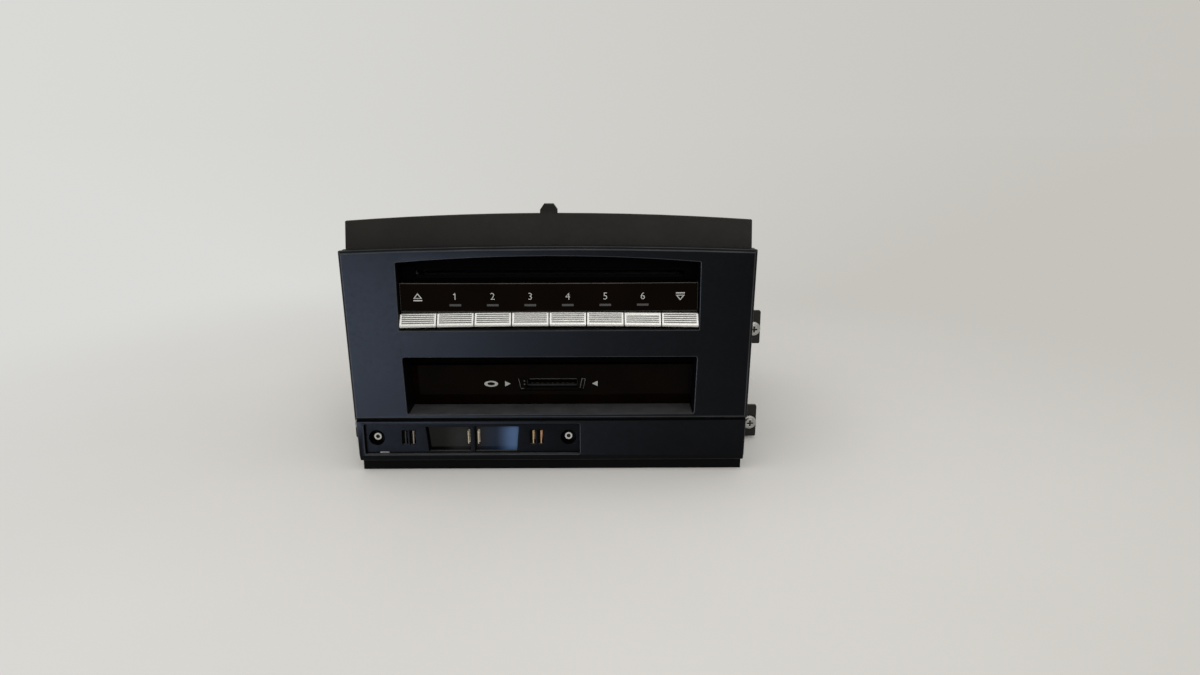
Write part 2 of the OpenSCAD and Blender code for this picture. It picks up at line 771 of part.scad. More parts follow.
module card_panel() {
    half = recess_w / 2 + funnel_wall;
    pocket = card_pocket_w / 2;
    slant = 1.6;
    color("#0f0b09") in_frame() difference() {
        plate_y(card_recess_d, card_panel_y1) rectangle(-half, half, card_z0 - funnel_wall, card_panel_z1);
        plate_y(card_recess_d - cut, card_panel_y1 + cut)
            round_rectangle(-card_slot_w / 2, card_slot_w / 2, card_z - card_slot_h / 2, card_z + card_slot_h / 2, 0.6);
        plate_y(card_recess_d - cut, card_recess_d + card_pocket_d) polygon([
            [slant - pocket, card_z - card_pocket_h / 2], [pocket - slant, card_z - card_pocket_h / 2],
            [pocket, card_z + card_pocket_h / 2], [-pocket, card_z + card_pocket_h / 2]]);
    }
}

module card_carrier() {
    half = recess_w / 2 + funnel_wall;
    color("#111214") in_frame() difference() {
        union() {
            plate_y(card_panel_y1, card_carrier_y1)
                rectangle(-half, half, card_z0 - funnel_wall, card_z1 + funnel_wall);
            plate_y(card_recess_d, card_panel_y1) difference() {
                rectangle(-half, half, card_panel_z1, card_z1 + funnel_wall);
                rectangle(-recess_w / 2, recess_w / 2, card_panel_z1 - cut, card_z1);
            }
        }
        plate_y(card_panel_y1 - cut, card_carrier_y1 + cut)
            round_rectangle(-card_slot_w / 2, card_slot_w / 2, card_z - card_slot_h / 2, card_z + card_slot_h / 2, 0.6);
    }
}

module card_socket() {
    y1 = card_carrier_y1 + socket_len;
    channel_y1 = y1 - 2;
    slider_x1 = card_channel_w / 2 + slider_w + 2 * slider_clear;
    slider_y0 = card_carrier_y1 + 6;
    color("#b9bbb8") in_frame() difference() {
        box([-socket_side, card_carrier_y1, socket_z0],
            [socket_side, y1, socket_z0 + card_channel_h + 2 * socket_wall]);
        box([-card_channel_w / 2, card_carrier_y1 - cut, socket_z0 + socket_wall],
            [card_channel_w / 2, channel_y1, socket_z0 + socket_wall + card_channel_h]);
        box([0, slider_y0, socket_z0 + socket_wall],
            [slider_x1, channel_y1, socket_z0 + socket_wall + card_channel_h]);
    }
}

module card_slider() {
    x0 = card_channel_w / 2 + slider_clear;
    y0 = card_carrier_y1 + 12;
    color("#e0ded6") in_frame() box([x0, y0, socket_z0 + socket_wall + slider_clear],
        [x0 + slider_w, y0 + slider_len, socket_z0 + socket_wall + card_channel_h - slider_clear]);
}

module card_board() {
    half = socket_side + 9;
    color("#1f5c38") in_frame()
        box([-half, card_carrier_y1, card_board_z0], [half, card_carrier_y1 + socket_len + 8, socket_z0]);
}

// One window of the bay; its outer edge slants
module bay_window(grow) {
    inner = bay_window_gap / 2;
    outer = inner + bay_window_w;
    z0 = bay_window_z0 - grow;
    z1 = bay_window_z0 + bay_window_h + grow;
    polygon([[inner, z0], [outer - bay_window_slant + grow, z0], [outer + grow, z1], [inner, z1]]);
}

module both_windows(grow) {
    translate([bay_x, 0]) for (side = [0, 1]) mirror([side, 0]) bay_window(grow);
}

module bay_plate() {
    x1 = bay_x0 + bay_w + bay_overlap;
    z0 = lower_z0 + rim_wall + 0.1;
    z1 = fold_z - part_gap - rim_wall - 0.1;
    color("#1a1d23") in_frame() difference() {
        union() {
            plate_y(lower_back, bay_plate_y1) rectangle(bay_x0, x1, z0, z1);
            at_bay_screws() rod_y(bay_plate_y1, carrier_y0, 0, 0, bay_boss_r);
        }
        at_bay_screws() {
            rod_y(lower_back - cut, carrier_y0 - bay_ledge_t, 0, 0, bay_counterbore_r);
            rod_y(lower_back - cut, carrier_y0 + cut, 0, 0, small_screw_r + hole_clear);
        }
        plate_y(lower_back - cut, bay_plate_y1 + cut) both_windows(0);
        for (clip = [-1, 1], side = [-1, 1]) {
            x = bay_x + clip * bay_clip_x + side * (clip_bridge + clip_slot_w) / 2;
            box([x - clip_slot_w / 2, lower_back - cut, bay_z - clip_slot_h / 2],
                [x + clip_slot_w / 2, bay_plate_y1 + cut, bay_z + clip_slot_h / 2]);
        }
    }
}

module bay_windows() {
    color("#101620") in_frame() plate_y(carrier_y0 - bay_lens_t, carrier_y0) both_windows(0.6);
}

// Plan of one spring leaf: a foot on what carries it and a blade towards the front
module leaf(foot_y) {
    tip_y = lower_back + 0.4;
    polygon([[-leaf_t, foot_y], [1.6 * leaf_t, foot_y], [1.6 * leaf_t, foot_y - leaf_t], [0, foot_y - leaf_t],
        [leaf_t, tip_y], [0, tip_y], [-leaf_t, foot_y - leaf_t]]);
}

module spring_clips() {
    color("#b08d4f") in_frame() plate_z(bay_z - leaf_h / 2, bay_z + leaf_h / 2) {
        for (clip = [-1, 1], side = [-1, 1])
            translate([bay_x + clip * bay_clip_x + side * (clip_bridge + clip_slot_w) / 2, 0]) leaf(carrier_y0);
        for (side = [-1, 1])
            translate([bay_x + side * (bay_window_gap / 2 + 1.2), 0]) leaf(carrier_y0 - bay_lens_t);
    }
}

module bay_screws() {
    seat = carrier_y0 - bay_ledge_t;
    color("#c8c8c6") in_frame() at_bay_screws() difference() {
        union() {
            rod_y(seat - bay_head_t, seat, 0, 0, bay_head_r);
            rod_y(seat, carrier_y1 + bay_screw_reach, 0, 0, small_screw_r);
        }
        rod_y(seat - bay_head_t - cut, seat - bay_head_t + 1.4, 0, 0, bay_head_r / 2, $fn = 6);
    }
}

module fascia_screws() {
    color("#9a9c9c") in_frame() at_bosses() {
        rod_y(fascia_d - boss_depth + 0.5, carrier_y1, 0, 0, small_screw_r);
        rod_y(carrier_y1, carrier_y1 + case_head_t, 0, 0, case_head_r);
    }
}

module at_bracket_screws() {
    for (side = [0, 1], yz = bracket_screws_yz) mirror([side, 0, 0]) translate([0, yz[0], yz[1]]) children();
}

module at_cover_screws() {
    for (side = [0, 1], y = cover_screw_ys) mirror([side, 0, 0]) translate([0, y, cover_screw_z]) children();
}

module chassis_tray() {
    color("#a9aba8") in_frame() difference() {
        union() {
            box([-chassis_half, chassis_y0, 0], [chassis_half, rear_y1, sheet_t]);
            for (side = [0, 1]) mirror([side, 0, 0]) {
                box([inner_half, chassis_y0, 0], [chassis_half, rear_y1, cover_z0]);
                box([flange_x, chassis_y0, 0], [inner_half, chassis_y0 + sheet_t, cover_z0]);
            }
            box([-inner_half, chassis_y0, 0], [inner_half, chassis_y0 + sheet_t, sheet_t + flange_w / 2]);
            for (side = [-1, 1], y = [main_board_y0 + standoff_inset, main_board_y1 - standoff_inset])
                rod_z(sheet_t / 2, main_board_z0, side * (main_board_half - standoff_inset), y, standoff_r);
        }
        at_bracket_screws() rod_x(inner_half - cut, chassis_half + cut, 0, 0, bracket_screw_r + hole_clear);
        at_cover_screws() rod_x(inner_half - cut, chassis_half + cut, 0, 0, case_screw_r + hole_clear);
    }
}

module vent_slots() {
    pitch = 7;
    width = 3;
    for (bank = [-1, 1], index = [0 : vent_count - 1]) {
        x = bank * (inner_half / 2) + (index - (vent_count - 1) / 2) * pitch;
        y = (chassis_y0 + rear_y1) / 2 + 20;
        round_rectangle(x - width / 2, x + width / 2, y - vent_len / 2, y + vent_len / 2, width / 2 - 0.01);
    }
}

module top_cover() {
    lip_end = 4;
    color("#a2a4a2") in_frame() difference() {
        union() {
            box([-chassis_half, chassis_y0, cover_z0], [chassis_half, rear_y1, cover_z1]);
            for (side = [0, 1]) mirror([side, 0, 0])
                box([inner_half - sheet_t, chassis_y0 + lip_end, cover_z0 - cover_lip_h],
                    [inner_half, rear_y0 - lip_end, cover_z0]);
        }
        plate_z(cover_z0 - cut, cover_z1 + cut) vent_slots();
        at_cover_screws() rod_x(inner_half - sheet_t - cut, inner_half + cut, 0, 0, case_screw_r + hole_clear);
    }
}

// Concentric slots in the rear plate, with four spokes left between them
module fan_grille() {
    bar = 1.8;
    ring = fan_bore_r / 3;
    difference() {
        circle(r = fan_bore_r - 0.6);
        for (index = [1, 2]) difference() {
            circle(r = index * ring + bar / 2);
            circle(r = index * ring - bar / 2);
        }
        circle(r = bar);
        for (turn = [45, 135]) rotate(turn) square([fan_size, bar], center = true);
    }
}

module at_fan_screws() {
    reach = fan_size / 2 - fan_screw_inset;
    for (x = [-1, 1], z = [-1, 1]) translate([fan_x + x * reach, 0, fan_z + z * reach]) children();
}

module at_antennas() {
    for (index = [0 : antenna_count - 1])
        translate([antenna_x0 + index * antenna_pitch, 0, main_board_z1 + antenna_size / 2]) children();
}

module rear_plate() {
    room = 0.3;
    color("#a9aba8") in_frame() difference() {
        box([-inner_half, rear_y0, sheet_t], [inner_half, rear_y1, cover_z0]);
        plate_y(rear_y0 - cut, rear_y1 + cut) {
            translate([fan_x, fan_z]) fan_grille();
            rectangle(power_x0 - room, power_x0 + power_w + room, main_board_z1 - room, main_board_z1 + power_h + room);
            rectangle(optical_x0 - room, optical_x0 + optical_w + room, main_board_z1 - room,
                main_board_z1 + optical_h + room);
        }
        at_antennas() plate_y(rear_y0 - cut, rear_y1 + cut)
            square([antenna_size + 2 * room, antenna_size + 2 * room], center = true);
        at_fan_screws() rod_y(rear_y0 - cut, rear_y1 + cut, 0, 0, case_screw_r + hole_clear);
    }
}

module bracket() {
    z0 = ear_low_z;
    y1 = ear_y0 + bracket_len;
    slot_r = 5;
    slot_y0 = ear_y0 + 16;
    color("#1d1d1c") in_frame() difference() {
        union() {
            plate_x(chassis_half, bracket_x1) round_rectangle(ear_y0, y1, z0, bracket_z1, 0.5);
            for (step = [0, 1]) plate_y(ear_y0, ear_y1)
                round_rectangle(chassis_half, ear_x1, z0 + step * ear_pitch, z0 + step * ear_pitch + ear_h, 0.8);
        }
        for (share = [0.3, 0.58]) {
            z = z0 + share * (bracket_z1 - z0);
            plate_x(chassis_half - cut, bracket_x1 + cut)
                round_rectangle(slot_y0, y1 - 12, z - slot_r, z + slot_r, slot_r - 0.01);
        }
        for (yz = bracket_screws_yz)
            rod_x(chassis_half - cut, bracket_x1 + cut, yz[0], yz[1], bracket_screw_r + hole_clear);
        for (step = [0, 1])
            rod_y(ear_y0 - cut, ear_y1 + cut, ear_screw_x, ear_screw_z + step * ear_pitch, ear_screw_r + hole_clear);
    }
}

module right_bracket() { bracket(); }

module left_bracket() { mirror([1, 0, 0]) bracket(); }

module ear_screws() {
    head_y0 = ear_y0 - flange_screw_t - ear_head_t;
    color("#c4c5c2") in_frame() for (side = [-1, 1], step = [0, 1])
        translate([side * ear_screw_x, 0, ear_screw_z + step * ear_pitch]) difference() {
            union() {
                rod_y(ear_y0 - flange_screw_t, ear_y0, 0, 0, flange_screw_r);
                rod_y(head_y0, ear_y0 - flange_screw_t, 0, 0, ear_head_r);
                rod_y(ear_y0, ear_neck_y1, 0, 0, ear_neck_r);
                rod_y(ear_neck_y1, ear_y1 + ear_screw_len, 0, 0, ear_screw_r);
            }
            for (turn = [0, 90]) rotate([0, turn, 0])
                box([-1.6, head_y0 - cut, -0.4], [1.6, head_y0 + 1.2, 0.4]);
        }
}

module bracket_screws() {
    color("#9a9c9c") in_frame() at_bracket_screws() {
        rod_x(inner_half - 2, bracket_x1, 0, 0, bracket_screw_r);
        rod_x(bracket_x1, bracket_x1 + bracket_head_t, 0, 0, bracket_head_r);
    }
}

module case_screws() {
    color("#9a9c9c") in_frame() {
        at_cover_screws() {
            rod_x(inner_half - sheet_t - 3, chassis_half, 0, 0, case_screw_r);
            rod_x(chassis_half, chassis_half + case_head_t, 0, 0, case_head_r);
        }
        at_fan_screws() {
            rod_y(rear_y0 - 6, rear_y1, 0, 0, case_screw_r);
            rod_y(rear_y1, rear_y1 + case_head_t, 0, 0, case_head_r);
        }
    }
}

module main_board() {
    color("#1f5c38") in_frame()
        box([-main_board_half, main_board_y0, main_board_z0], [main_board_half, main_board_y1, main_board_z1]);
}

module power_socket() {
    wall = 2;
    split = 0.58;
    y0 = socket_y1 - socket_body;
    z0 = main_board_z1 + wall;
    z1 = main_board_z1 + power_h - wall;
    x_split = power_x0 + power_w * split;
    color("#202226") in_frame() difference() {
        box([power_x0, y0, main_board_z1], [power_x0 + power_w, socket_y1, main_board_z1 + power_h]);
        box([power_x0 + wall, y0 + wall, z0], [x_split, socket_y1 + cut, z1]);
        box([x_split + wall, y0 + wall, z0], [power_x0 + power_w - wall, socket_y1 + cut, z1]);
    }
}

module antenna_sockets() {
    y0 = socket_y1 - socket_body;
    color("#2c4f86") in_frame() at_antennas() {
        difference() {
            plate_y(y0, socket_y1) square(antenna_size, center = true);
            rod_y(y0 + 4, socket_y1 + cut, 0, 0, antenna_size / 2 - 1.2);
        }
        rod_y(y0 + 3, socket_y1 - 3, 0, 0, antenna_r / 2);
    }
}

module optical_socket() {
    wall = 1.6;
    y0 = socket_y1 - socket_body;
    color("#24262a") in_frame() difference() {
        box([optical_x0, y0, main_board_z1], [optical_x0 + optical_w, socket_y1, main_board_z1 + optical_h]);
        box([optical_x0 + wall, y0 + wall * 2, main_board_z1 + wall],
            [optical_x0 + optical_w - wall, socket_y1 + cut, main_board_z1 + optical_h - wall]);
    }
}

module fan_frame() {
    half = fan_size / 2;
    hub_y1 = fan_y0 + fan_arm_t;
    color("#1b1c1e") in_frame() {
        difference() {
            plate_y(fan_y0, rear_y0) round_rectangle(fan_x - half, fan_x + half, fan_z - half, fan_z + half, 3);
            rod_y(fan_y0 - cut, rear_y0 + cut, fan_x, fan_z, fan_bore_r);
            at_fan_screws() rod_y(fan_y0 - cut, rear_y0 + cut, 0, 0, case_screw_r + hole_clear);
        }
        rod_y(fan_y0, hub_y1, fan_x, fan_z, fan_hub_r);
        translate([fan_x, 0, fan_z]) for (turn = [0 : 120 : 240]) rotate([0, turn, 0])
            box([0, fan_y0, -fan_arm_t / 2], [fan_bore_r + 0.5, hub_y1, fan_arm_t / 2]);
        rod_y(fan_y0, rear_y0 - 4, fan_x, fan_z, fan_shaft_r);
    }
}

module fan_rotor() {
    y0 = fan_y0 + fan_arm_t + 0.6;
    y1 = rear_y0 - 2.5;
    hub_r = fan_hub_r + 1;
    tip_r = fan_bore_r - blade_clear;
    blade_y = (y0 + y1) / 2;
    blade_h = y1 - y0;
    color("#26282b") in_frame() translate([fan_x, 0, fan_z]) difference() {
        union() {
            rod_y(y0, y1, 0, 0, hub_r);
            intersection() {
                rod_y(y0, y1, 0, 0, tip_r);
                for (index = [0 : blade_count - 1]) rotate([0, index * 360 / blade_count, 0])
                    translate([0, blade_y, 0]) rotate([blade_pitch, 0, 0])
                        box([hub_r - 1, -blade_h, -blade_t / 2], [tip_r + cut, blade_h, blade_t / 2]);
            }
        }
        rod_y(y0 - cut, y1 + cut, 0, 0, fan_shaft_r + run_clear);
    }
}

module mechanism_frame() {
    inner = mech_half - mech_wall;
    color("#8f9190") in_frame() difference() {
        union() {
            box([-mech_half, mech_y0, deck_z], [mech_half, mech_y1, deck_z1]);
            for (side = [0, 1]) mirror([side, 0, 0]) {
                box([inner, mech_y0, deck_z], [mech_half, mech_y1, mech_z1]);
                for (y = [mech_y0 + wing_w, mech_y1 - 2 * wing_w])
                    box([mech_half - mech_wall, y, deck_z], [inner_half, y + wing_w, deck_z1]);
            }
            for (x = [rod_x0 - lug_t, rod_x1 - lug_t], y = [rod_y, screw_y])
                box([x, y - lug_w / 2, deck_z], [x + lug_t, y + lug_w / 2, rod_z0 + lug_w / 2]);
        }
        rod_x(-mech_half - cut, mech_half + cut, roller_y, roller_z, roller_shaft_r + run_clear);
        rod_x(inner - cut, mech_half + cut, roller_y, pinion_z, 2 * pinion_bore_r);
        for (y = [rod_y, screw_y]) rod_x(rod_x0 - lug_t - cut, rod_x1 + cut, y, rod_z0, rod_r + run_clear);
        for (side = [-1, 1]) box([side * mech_half - 2 * mech_wall, tray_y0 + 14, deck_z1 + 6],
            [side * mech_half + 2 * mech_wall, mech_y1 - 14, tray_z1 - 18]);
    }
}

module disc_guide() {
    inner = mech_half - mech_wall;
    color("#303236") in_frame() box([-inner, mech_y0, disc_z + disc_t / 2 + 0.3], [inner, roller_y + 6, cover_z0]);
}

module loading_roller() {
    half = disc_d / 2 + 2;
    reach = mech_half + gear_gap + gear_t + 1;
    color("#262626") in_frame() translate([0, roller_y, roller_z]) rotate([0, 90, 0]) {
        translate([0, 0, -half]) cylinder(h = half, r1 = roller_r, r2 = roller_r - roller_waist);
        cylinder(h = half, r1 = roller_r - roller_waist, r2 = roller_r);
        translate([0, 0, -mech_half - 1]) cylinder(h = mech_half + 1 + reach, r = roller_shaft_r);
    }
}

// Spur gear in its own plane; play leaves the teeth thinner than the gaps
module gear_outline(teeth, bore_r) {
    pitch_r = gear_module * teeth / 2;
    root_r = pitch_r - 1.25 * gear_module;
    tip_r = pitch_r + 0.8 * gear_module;
    pitch = PI * gear_module;
    root_half = 0.26 * pitch;
    tip_half = 0.12 * pitch;
    difference() {
        union() {
            circle(r = root_r);
            for (index = [0 : teeth - 1]) rotate(index * 360 / teeth)
                polygon([[root_r / 2, -root_half], [root_r, -root_half], [tip_r, -tip_half], [tip_r, tip_half],
                    [root_r, root_half], [root_r / 2, root_half]]);
        }
        circle(r = bore_r);
    }
}

module gear_at(z, teeth, bore_r, turn) {
    x0 = mech_half + gear_gap;
    translate([x0, roller_y, z]) rotate([turn, 0, 0]) rotate([90, 0, 90])
        linear_extrude(gear_t) gear_outline(teeth, bore_r);
}

module roller_gear() {
    color("#d9d4c4") in_frame() gear_at(roller_z, roller_teeth, roller_shaft_r, -90);
}

module motor_pinion() {
    color("#c9a95c") in_frame() gear_at(pinion_z, pinion_teeth, pinion_bore_r, 90 + 180 / pinion_teeth);
}

module loading_motor() {
    inner = mech_half - mech_wall;
    color("#b5b7b6") in_frame() difference() {
        union() {
            rod_x(inner - motor_len, inner, roller_y, pinion_z, motor_r);
            rod_x(inner - 1, mech_half + gear_gap + gear_t, roller_y, pinion_z, pinion_bore_r - run_clear);
        }
        for (side = [-1, 1]) {
            y = roller_y + side * (motor_r + 1.2);
            box([inner - motor_len - cut, y - 2, pinion_z - motor_r], [inner - cut, y + 2, pinion_z + motor_r]);
        }
    }
}

module disc_tray(index) {
    top = tray_z1 - index * tray_pitch;
    rim = 0.4;
    color("#3b3d41") in_frame() difference() {
        union() {
            plate_z(top - tray_t, top) round_rectangle(-tray_half, tray_half, tray_y0, tray_y1, 3);
            for (side = [-1, 1], y = post_ys)
                rod_z(top - tray_pitch, top - tray_t, side * post_x, y, tray_boss_r);
        }
        rod_z(top - rim, top + cut, 0, disc_y, disc_d / 2 + 0.5);
        rod_z(top - tray_t - cut, top + cut, 0, disc_y, tray_hub_r);
        box([-tray_half - cut, disc_y - tray_hub_r, top - tray_t - cut], [0, disc_y + tray_hub_r, top + cut]);
        for (side = [-1, 1], y = post_ys)
            rod_z(top - tray_pitch - cut, top + cut, side * post_x, y, post_r + post_clear);
    }
}

module guide_rods() {
    color("#c9cac8") in_frame() {
        for (side = [-1, 1], y = post_ys) rod_z(deck_z1, mech_z1, side * post_x, y, post_r);
        rod_x(rod_x0 - lug_t, rod_x1, rod_y, rod_z0, rod_r);
    }
}

module spindle_motor() {
    color("#b5b7b6") in_frame() {
        rod_z(deck_z1, deck_z1 + spindle_h, 0, disc_y, spindle_r);
        rod_z(deck_z1, turntable_z0 + turntable_t, 0, disc_y, spindle_shaft_r);
    }
}

module turntable() {
    nub_r = 7.4;
    top = turntable_z0 + turntable_t;
    color("#2b2c2e") in_frame() difference() {
        union() {
            rod_z(turntable_z0, top, 0, disc_y, turntable_r);
            translate([0, disc_y, top]) cylinder(h = nub_h, r1 = nub_r, r2 = nub_r - 1.4);
        }
        rod_z(turntable_z0 - cut, top + cut, 0, disc_y, spindle_shaft_r + run_clear);
    }
}

module pickup_sled() {
    y0 = rod_y - 4;
    y1 = screw_y + 4;
    sled_z1 = sled_z0 + sled_h;
    x = sled_x1 - sled_w / 2;
    color("#55585c") in_frame() difference() {
        union() {
            box([sled_x1 - sled_w, y0, sled_z0], [sled_x1, y1, sled_z1]);
            rod_z(sled_z1, sled_z1 + 1.5, x, disc_y, lens_r);
        }
        for (y = [rod_y, screw_y]) rod_x(sled_x1 - sled_w - cut, sled_x1 + cut, y, rod_z0, rod_r + run_clear);
        rod_z(sled_z1 + 0.6, sled_z1 + 3, x, disc_y, lens_r - 1);
    }
}

module lead_screw() {
    color("#c9cac8") in_frame() rod_x(rod_x0 - lug_t, rod_x1 + 6, screw_y, rod_z0, rod_r);
}

module sled_motor() {
    color("#b5b7b6") in_frame() difference() {
        rod_x(rod_x1, rod_x1 + sled_motor_len, screw_y, rod_z0, sled_motor_r);
        rod_x(rod_x1 - cut, rod_x1 + 7, screw_y, rod_z0, rod_r + run_clear);
    }
}

front_panel();
lower_panel();
carrier_frame();
label_strip();
light_guide();
slot_mask();
dust_lips();
for (index = [0 : key_count - 1]) key(index);
key_guide();
key_mat();
key_board();
card_panel();
card_carrier();
card_socket();
card_slider();
card_board();
bay_plate();
bay_windows();
spring_clips();
bay_screws();
fascia_screws();
chassis_tray();
top_cover();
rear_plate();
left_bracket();
right_bracket();
ear_screws();
bracket_screws();
case_screws();
main_board();
power_socket();
antenna_sockets();
optical_socket();
fan_frame();
fan_rotor();
mechanism_frame();
disc_guide();
loading_roller();
roller_gear();
motor_pinion();
loading_motor();
for (index = [0 : 5]) disc_tray(index);
guide_rods();
spindle_motor();
turntable();
pickup_sled();
lead_screw();
sled_motor();
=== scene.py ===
# %% [markdown]
# Car navigation radio
#
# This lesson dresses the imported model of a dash-mounted navigation radio. The solids come first, as a
# fixed frame in metres. Everything after that is a finish on a solid, a softer-edged copy of one, or a
# small piece that sits on one.

# %% Load the frame
import json
import math

import bmesh
import bpy
from mathutils import Euler, Matrix, Vector
from mathutils.bvhtree import BVHTree


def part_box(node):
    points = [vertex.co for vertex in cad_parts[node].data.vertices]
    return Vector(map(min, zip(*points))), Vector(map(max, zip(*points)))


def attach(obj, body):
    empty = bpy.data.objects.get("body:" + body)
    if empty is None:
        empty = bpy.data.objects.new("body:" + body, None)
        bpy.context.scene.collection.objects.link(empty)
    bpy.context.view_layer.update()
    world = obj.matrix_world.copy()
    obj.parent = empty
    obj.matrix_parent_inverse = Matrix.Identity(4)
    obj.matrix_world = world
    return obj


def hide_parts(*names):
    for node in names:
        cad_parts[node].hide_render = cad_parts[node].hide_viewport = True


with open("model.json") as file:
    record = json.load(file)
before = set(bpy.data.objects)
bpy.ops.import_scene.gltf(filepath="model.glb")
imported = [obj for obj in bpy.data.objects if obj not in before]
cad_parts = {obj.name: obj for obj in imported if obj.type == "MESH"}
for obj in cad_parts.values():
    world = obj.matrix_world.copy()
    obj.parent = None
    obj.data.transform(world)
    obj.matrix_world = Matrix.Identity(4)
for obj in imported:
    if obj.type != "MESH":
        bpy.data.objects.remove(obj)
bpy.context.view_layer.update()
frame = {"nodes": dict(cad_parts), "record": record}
nodes = frame["nodes"]
MM = 0.001
FACE_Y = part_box("front_panel")[0].y

# %% [markdown]
# Camera
#
# The photo was taken from a little above the fascia, with a wide lens. Its focal length is 850 pixels on
# an image 1200 pixels wide, and the camera looks down by about 15 degrees. Depths below are counted from
# the fascia's face. Lengths are named in millimetres, and MM makes metres of them.

# %% Set up the camera
IMAGE_WIDTH = 1200
FOCAL_PIXELS = 850
SENSOR_MM = 36
CAMERA_AT = (22.4, -383.0, 167.9)
LOOK_DOWN = math.radians(14.7)
LOOK_RIGHT = math.radians(0.18)
TILT = math.radians(-0.16)


def place(x, depth, z):
    """A point in metres, from millimetres: depth is counted from the fascia's face."""
    return Vector((x * MM, FACE_Y + depth * MM, z * MM))


def depth_of(point):
    """How far a point lies behind the fascia's face, in millimetres."""
    return (point.y - FACE_Y) / MM


scene = bpy.context.scene
lens = bpy.data.cameras.new("photo_camera")
lens.sensor_width = SENSOR_MM
lens.lens = FOCAL_PIXELS * SENSOR_MM / IMAGE_WIDTH
lens.clip_start = 10 * MM
camera = bpy.data.objects.new("photo_camera", lens)
camera.location = place(*CAMERA_AT)
untilted = Euler((math.radians(90) - LOOK_DOWN, 0, -LOOK_RIGHT)).to_matrix()
camera.rotation_euler = (untilted @ Matrix.Rotation(TILT, 3, "Z")).to_euler()
scene.collection.objects.link(camera)
scene.camera = camera
scene.view_settings.view_transform = "Standard"
print("lens:", round(lens.lens, 2), "mm")

# %% [markdown]
# Node helpers
#
# Finishes, small repeated pieces and the light are all made with node trees. These helpers add a node,
# feed its inputs with links or plain values, and hand back the output that the next node needs.

# %% Define the node helpers


def feed(tree, target, value):
    """Links a socket to an input, or writes a plain value into it."""
    if isinstance(value, bpy.types.NodeSocket):
        tree.links.new(value, target)
    else:
        target.default_value = value


def add(tree, kind, feeds=None, **settings):
    """A new node: settings are its options, and feeds are its inputs, as sockets or plain values."""
    node = tree.nodes.new(kind)
    for name, value in settings.items():
        setattr(node, name, value)
    for key, value in (feeds or {}).items():
        feed(tree, node.inputs[key], value)
    return node


def calc(tree, operation, *values):
    """A Math node on sockets or plain numbers."""
    return add(tree, "ShaderNodeMath", dict(enumerate(values)), operation=operation).outputs["Value"]


def axes(tree, vector):
    """The X, Y and Z of a vector."""
    return add(tree, "ShaderNodeSeparateXYZ", {"Vector": vector}).outputs


def vector_of(tree, **parts):
    """A vector from sockets or plain numbers."""
    return add(tree, "ShaderNodeCombineXYZ", parts).outputs["Vector"]


def remap(tree, value, given, wanted=(0, 1), kind="LINEAR"):
    """Maps a value from one range to another and keeps it inside."""
    ends = dict(zip(("From Min", "From Max", "To Min", "To Max"), (*given, *wanted)))
    node = add(tree, "ShaderNodeMapRange", {"Value": value, **ends}, interpolation_type=kind)
    return node.outputs["Result"]


def ramp(tree, value, stops, kind="LINEAR"):
    """Runs a value through colours: stops are (position from 0 to 1, colour)."""
    node = add(tree, "ShaderNodeValToRGB", {"Fac": value})
    node.color_ramp.interpolation = kind
    elements = node.color_ramp.elements
    while len(elements) < len(stops):
        elements.new(0.5)
    for element, (position, colour) in zip(elements, stops):
        element.position = position
        element.color = (*colour, 1)
    return node.outputs["Color"]


def object_coords(tree):
    """Object coordinates: a pattern that reads them stays on its piece."""
    return add(tree, "ShaderNodeTexCoord").outputs["Object"]


def noise(tree, scale, detail=3.0):
    """A noise pattern in Object coordinates; scale counts features in a metre."""
    feeds = {"Vector": object_coords(tree), "Scale": scale, "Detail": detail}
    return add(tree, "ShaderNodeTexNoise", feeds).outputs["Fac"]


helpers = (feed, add, calc, axes, vector_of, remap, ramp, object_coords, noise)
print("node helpers:", [helper.__name__ for helper in helpers])

# %% [markdown]
# What a finish is made of
#
# Every finish is a small node tree on a Principled shader. Colour varies in patches of a few millimetres
# to two centimetres, roughness in patches nine times finer, and the moulded grain or brushing is a bump
# at its real scale. Two finishes are lighter on the faces that look up: partly dust, partly a painted sheen
# of the light from above. Two change their colour along the radio's width, and in the bay's windows that
# change is a painted reflection.

# %% Define a finish
NOISE_MIDDLE = (0.3, 0.7)
NOISE_CORE = (0.35, 0.65)
PATCH = 60
FINER = 9
BUMP_DETAIL = 2.0
DUST_SHEEN_FACING = (0.85, 1.0)
DUST_SHEEN_HEIGHTS = (40 * MM, 110 * MM)
DUST_SHEEN_LOW_TO_HIGH = (1.0, 0.2)
DUST_SHEEN_PATCH = 150
DUST_SHEEN_COVER = (0.6, 0.9)


def spread(tree, value, low, high):
    """Maps the middle of a noise pattern to the range low to high."""
    return remap(tree, value, NOISE_MIDDLE, (low, high))


def dusted(tree, colour, dust_and_sheen):
    """Mixes a lighter colour into the faces that look up, more on the low ledges than on the top: partly
    dust, partly a painted sheen of the light from above.
    """
    normal = add(tree, "ShaderNodeNewGeometry").outputs["Normal"]
    facing_up = remap(tree, axes(tree, normal)["Z"], DUST_SHEEN_FACING, kind="SMOOTHSTEP")
    height = axes(tree, object_coords(tree))["Z"]
    low_down = remap(tree, height, DUST_SHEEN_HEIGHTS, DUST_SHEEN_LOW_TO_HIGH)
    patchy = spread(tree, noise(tree, DUST_SHEEN_PATCH), *DUST_SHEEN_COVER)
    cover = calc(tree, "MULTIPLY", calc(tree, "MULTIPLY", patchy, facing_up), low_down)
    feeds = {"Factor": cover, "A": colour, "B": (*dust_and_sheen, 1)}
    return add(tree, "ShaderNodeMix", feeds, data_type="RGBA").outputs["Result"]


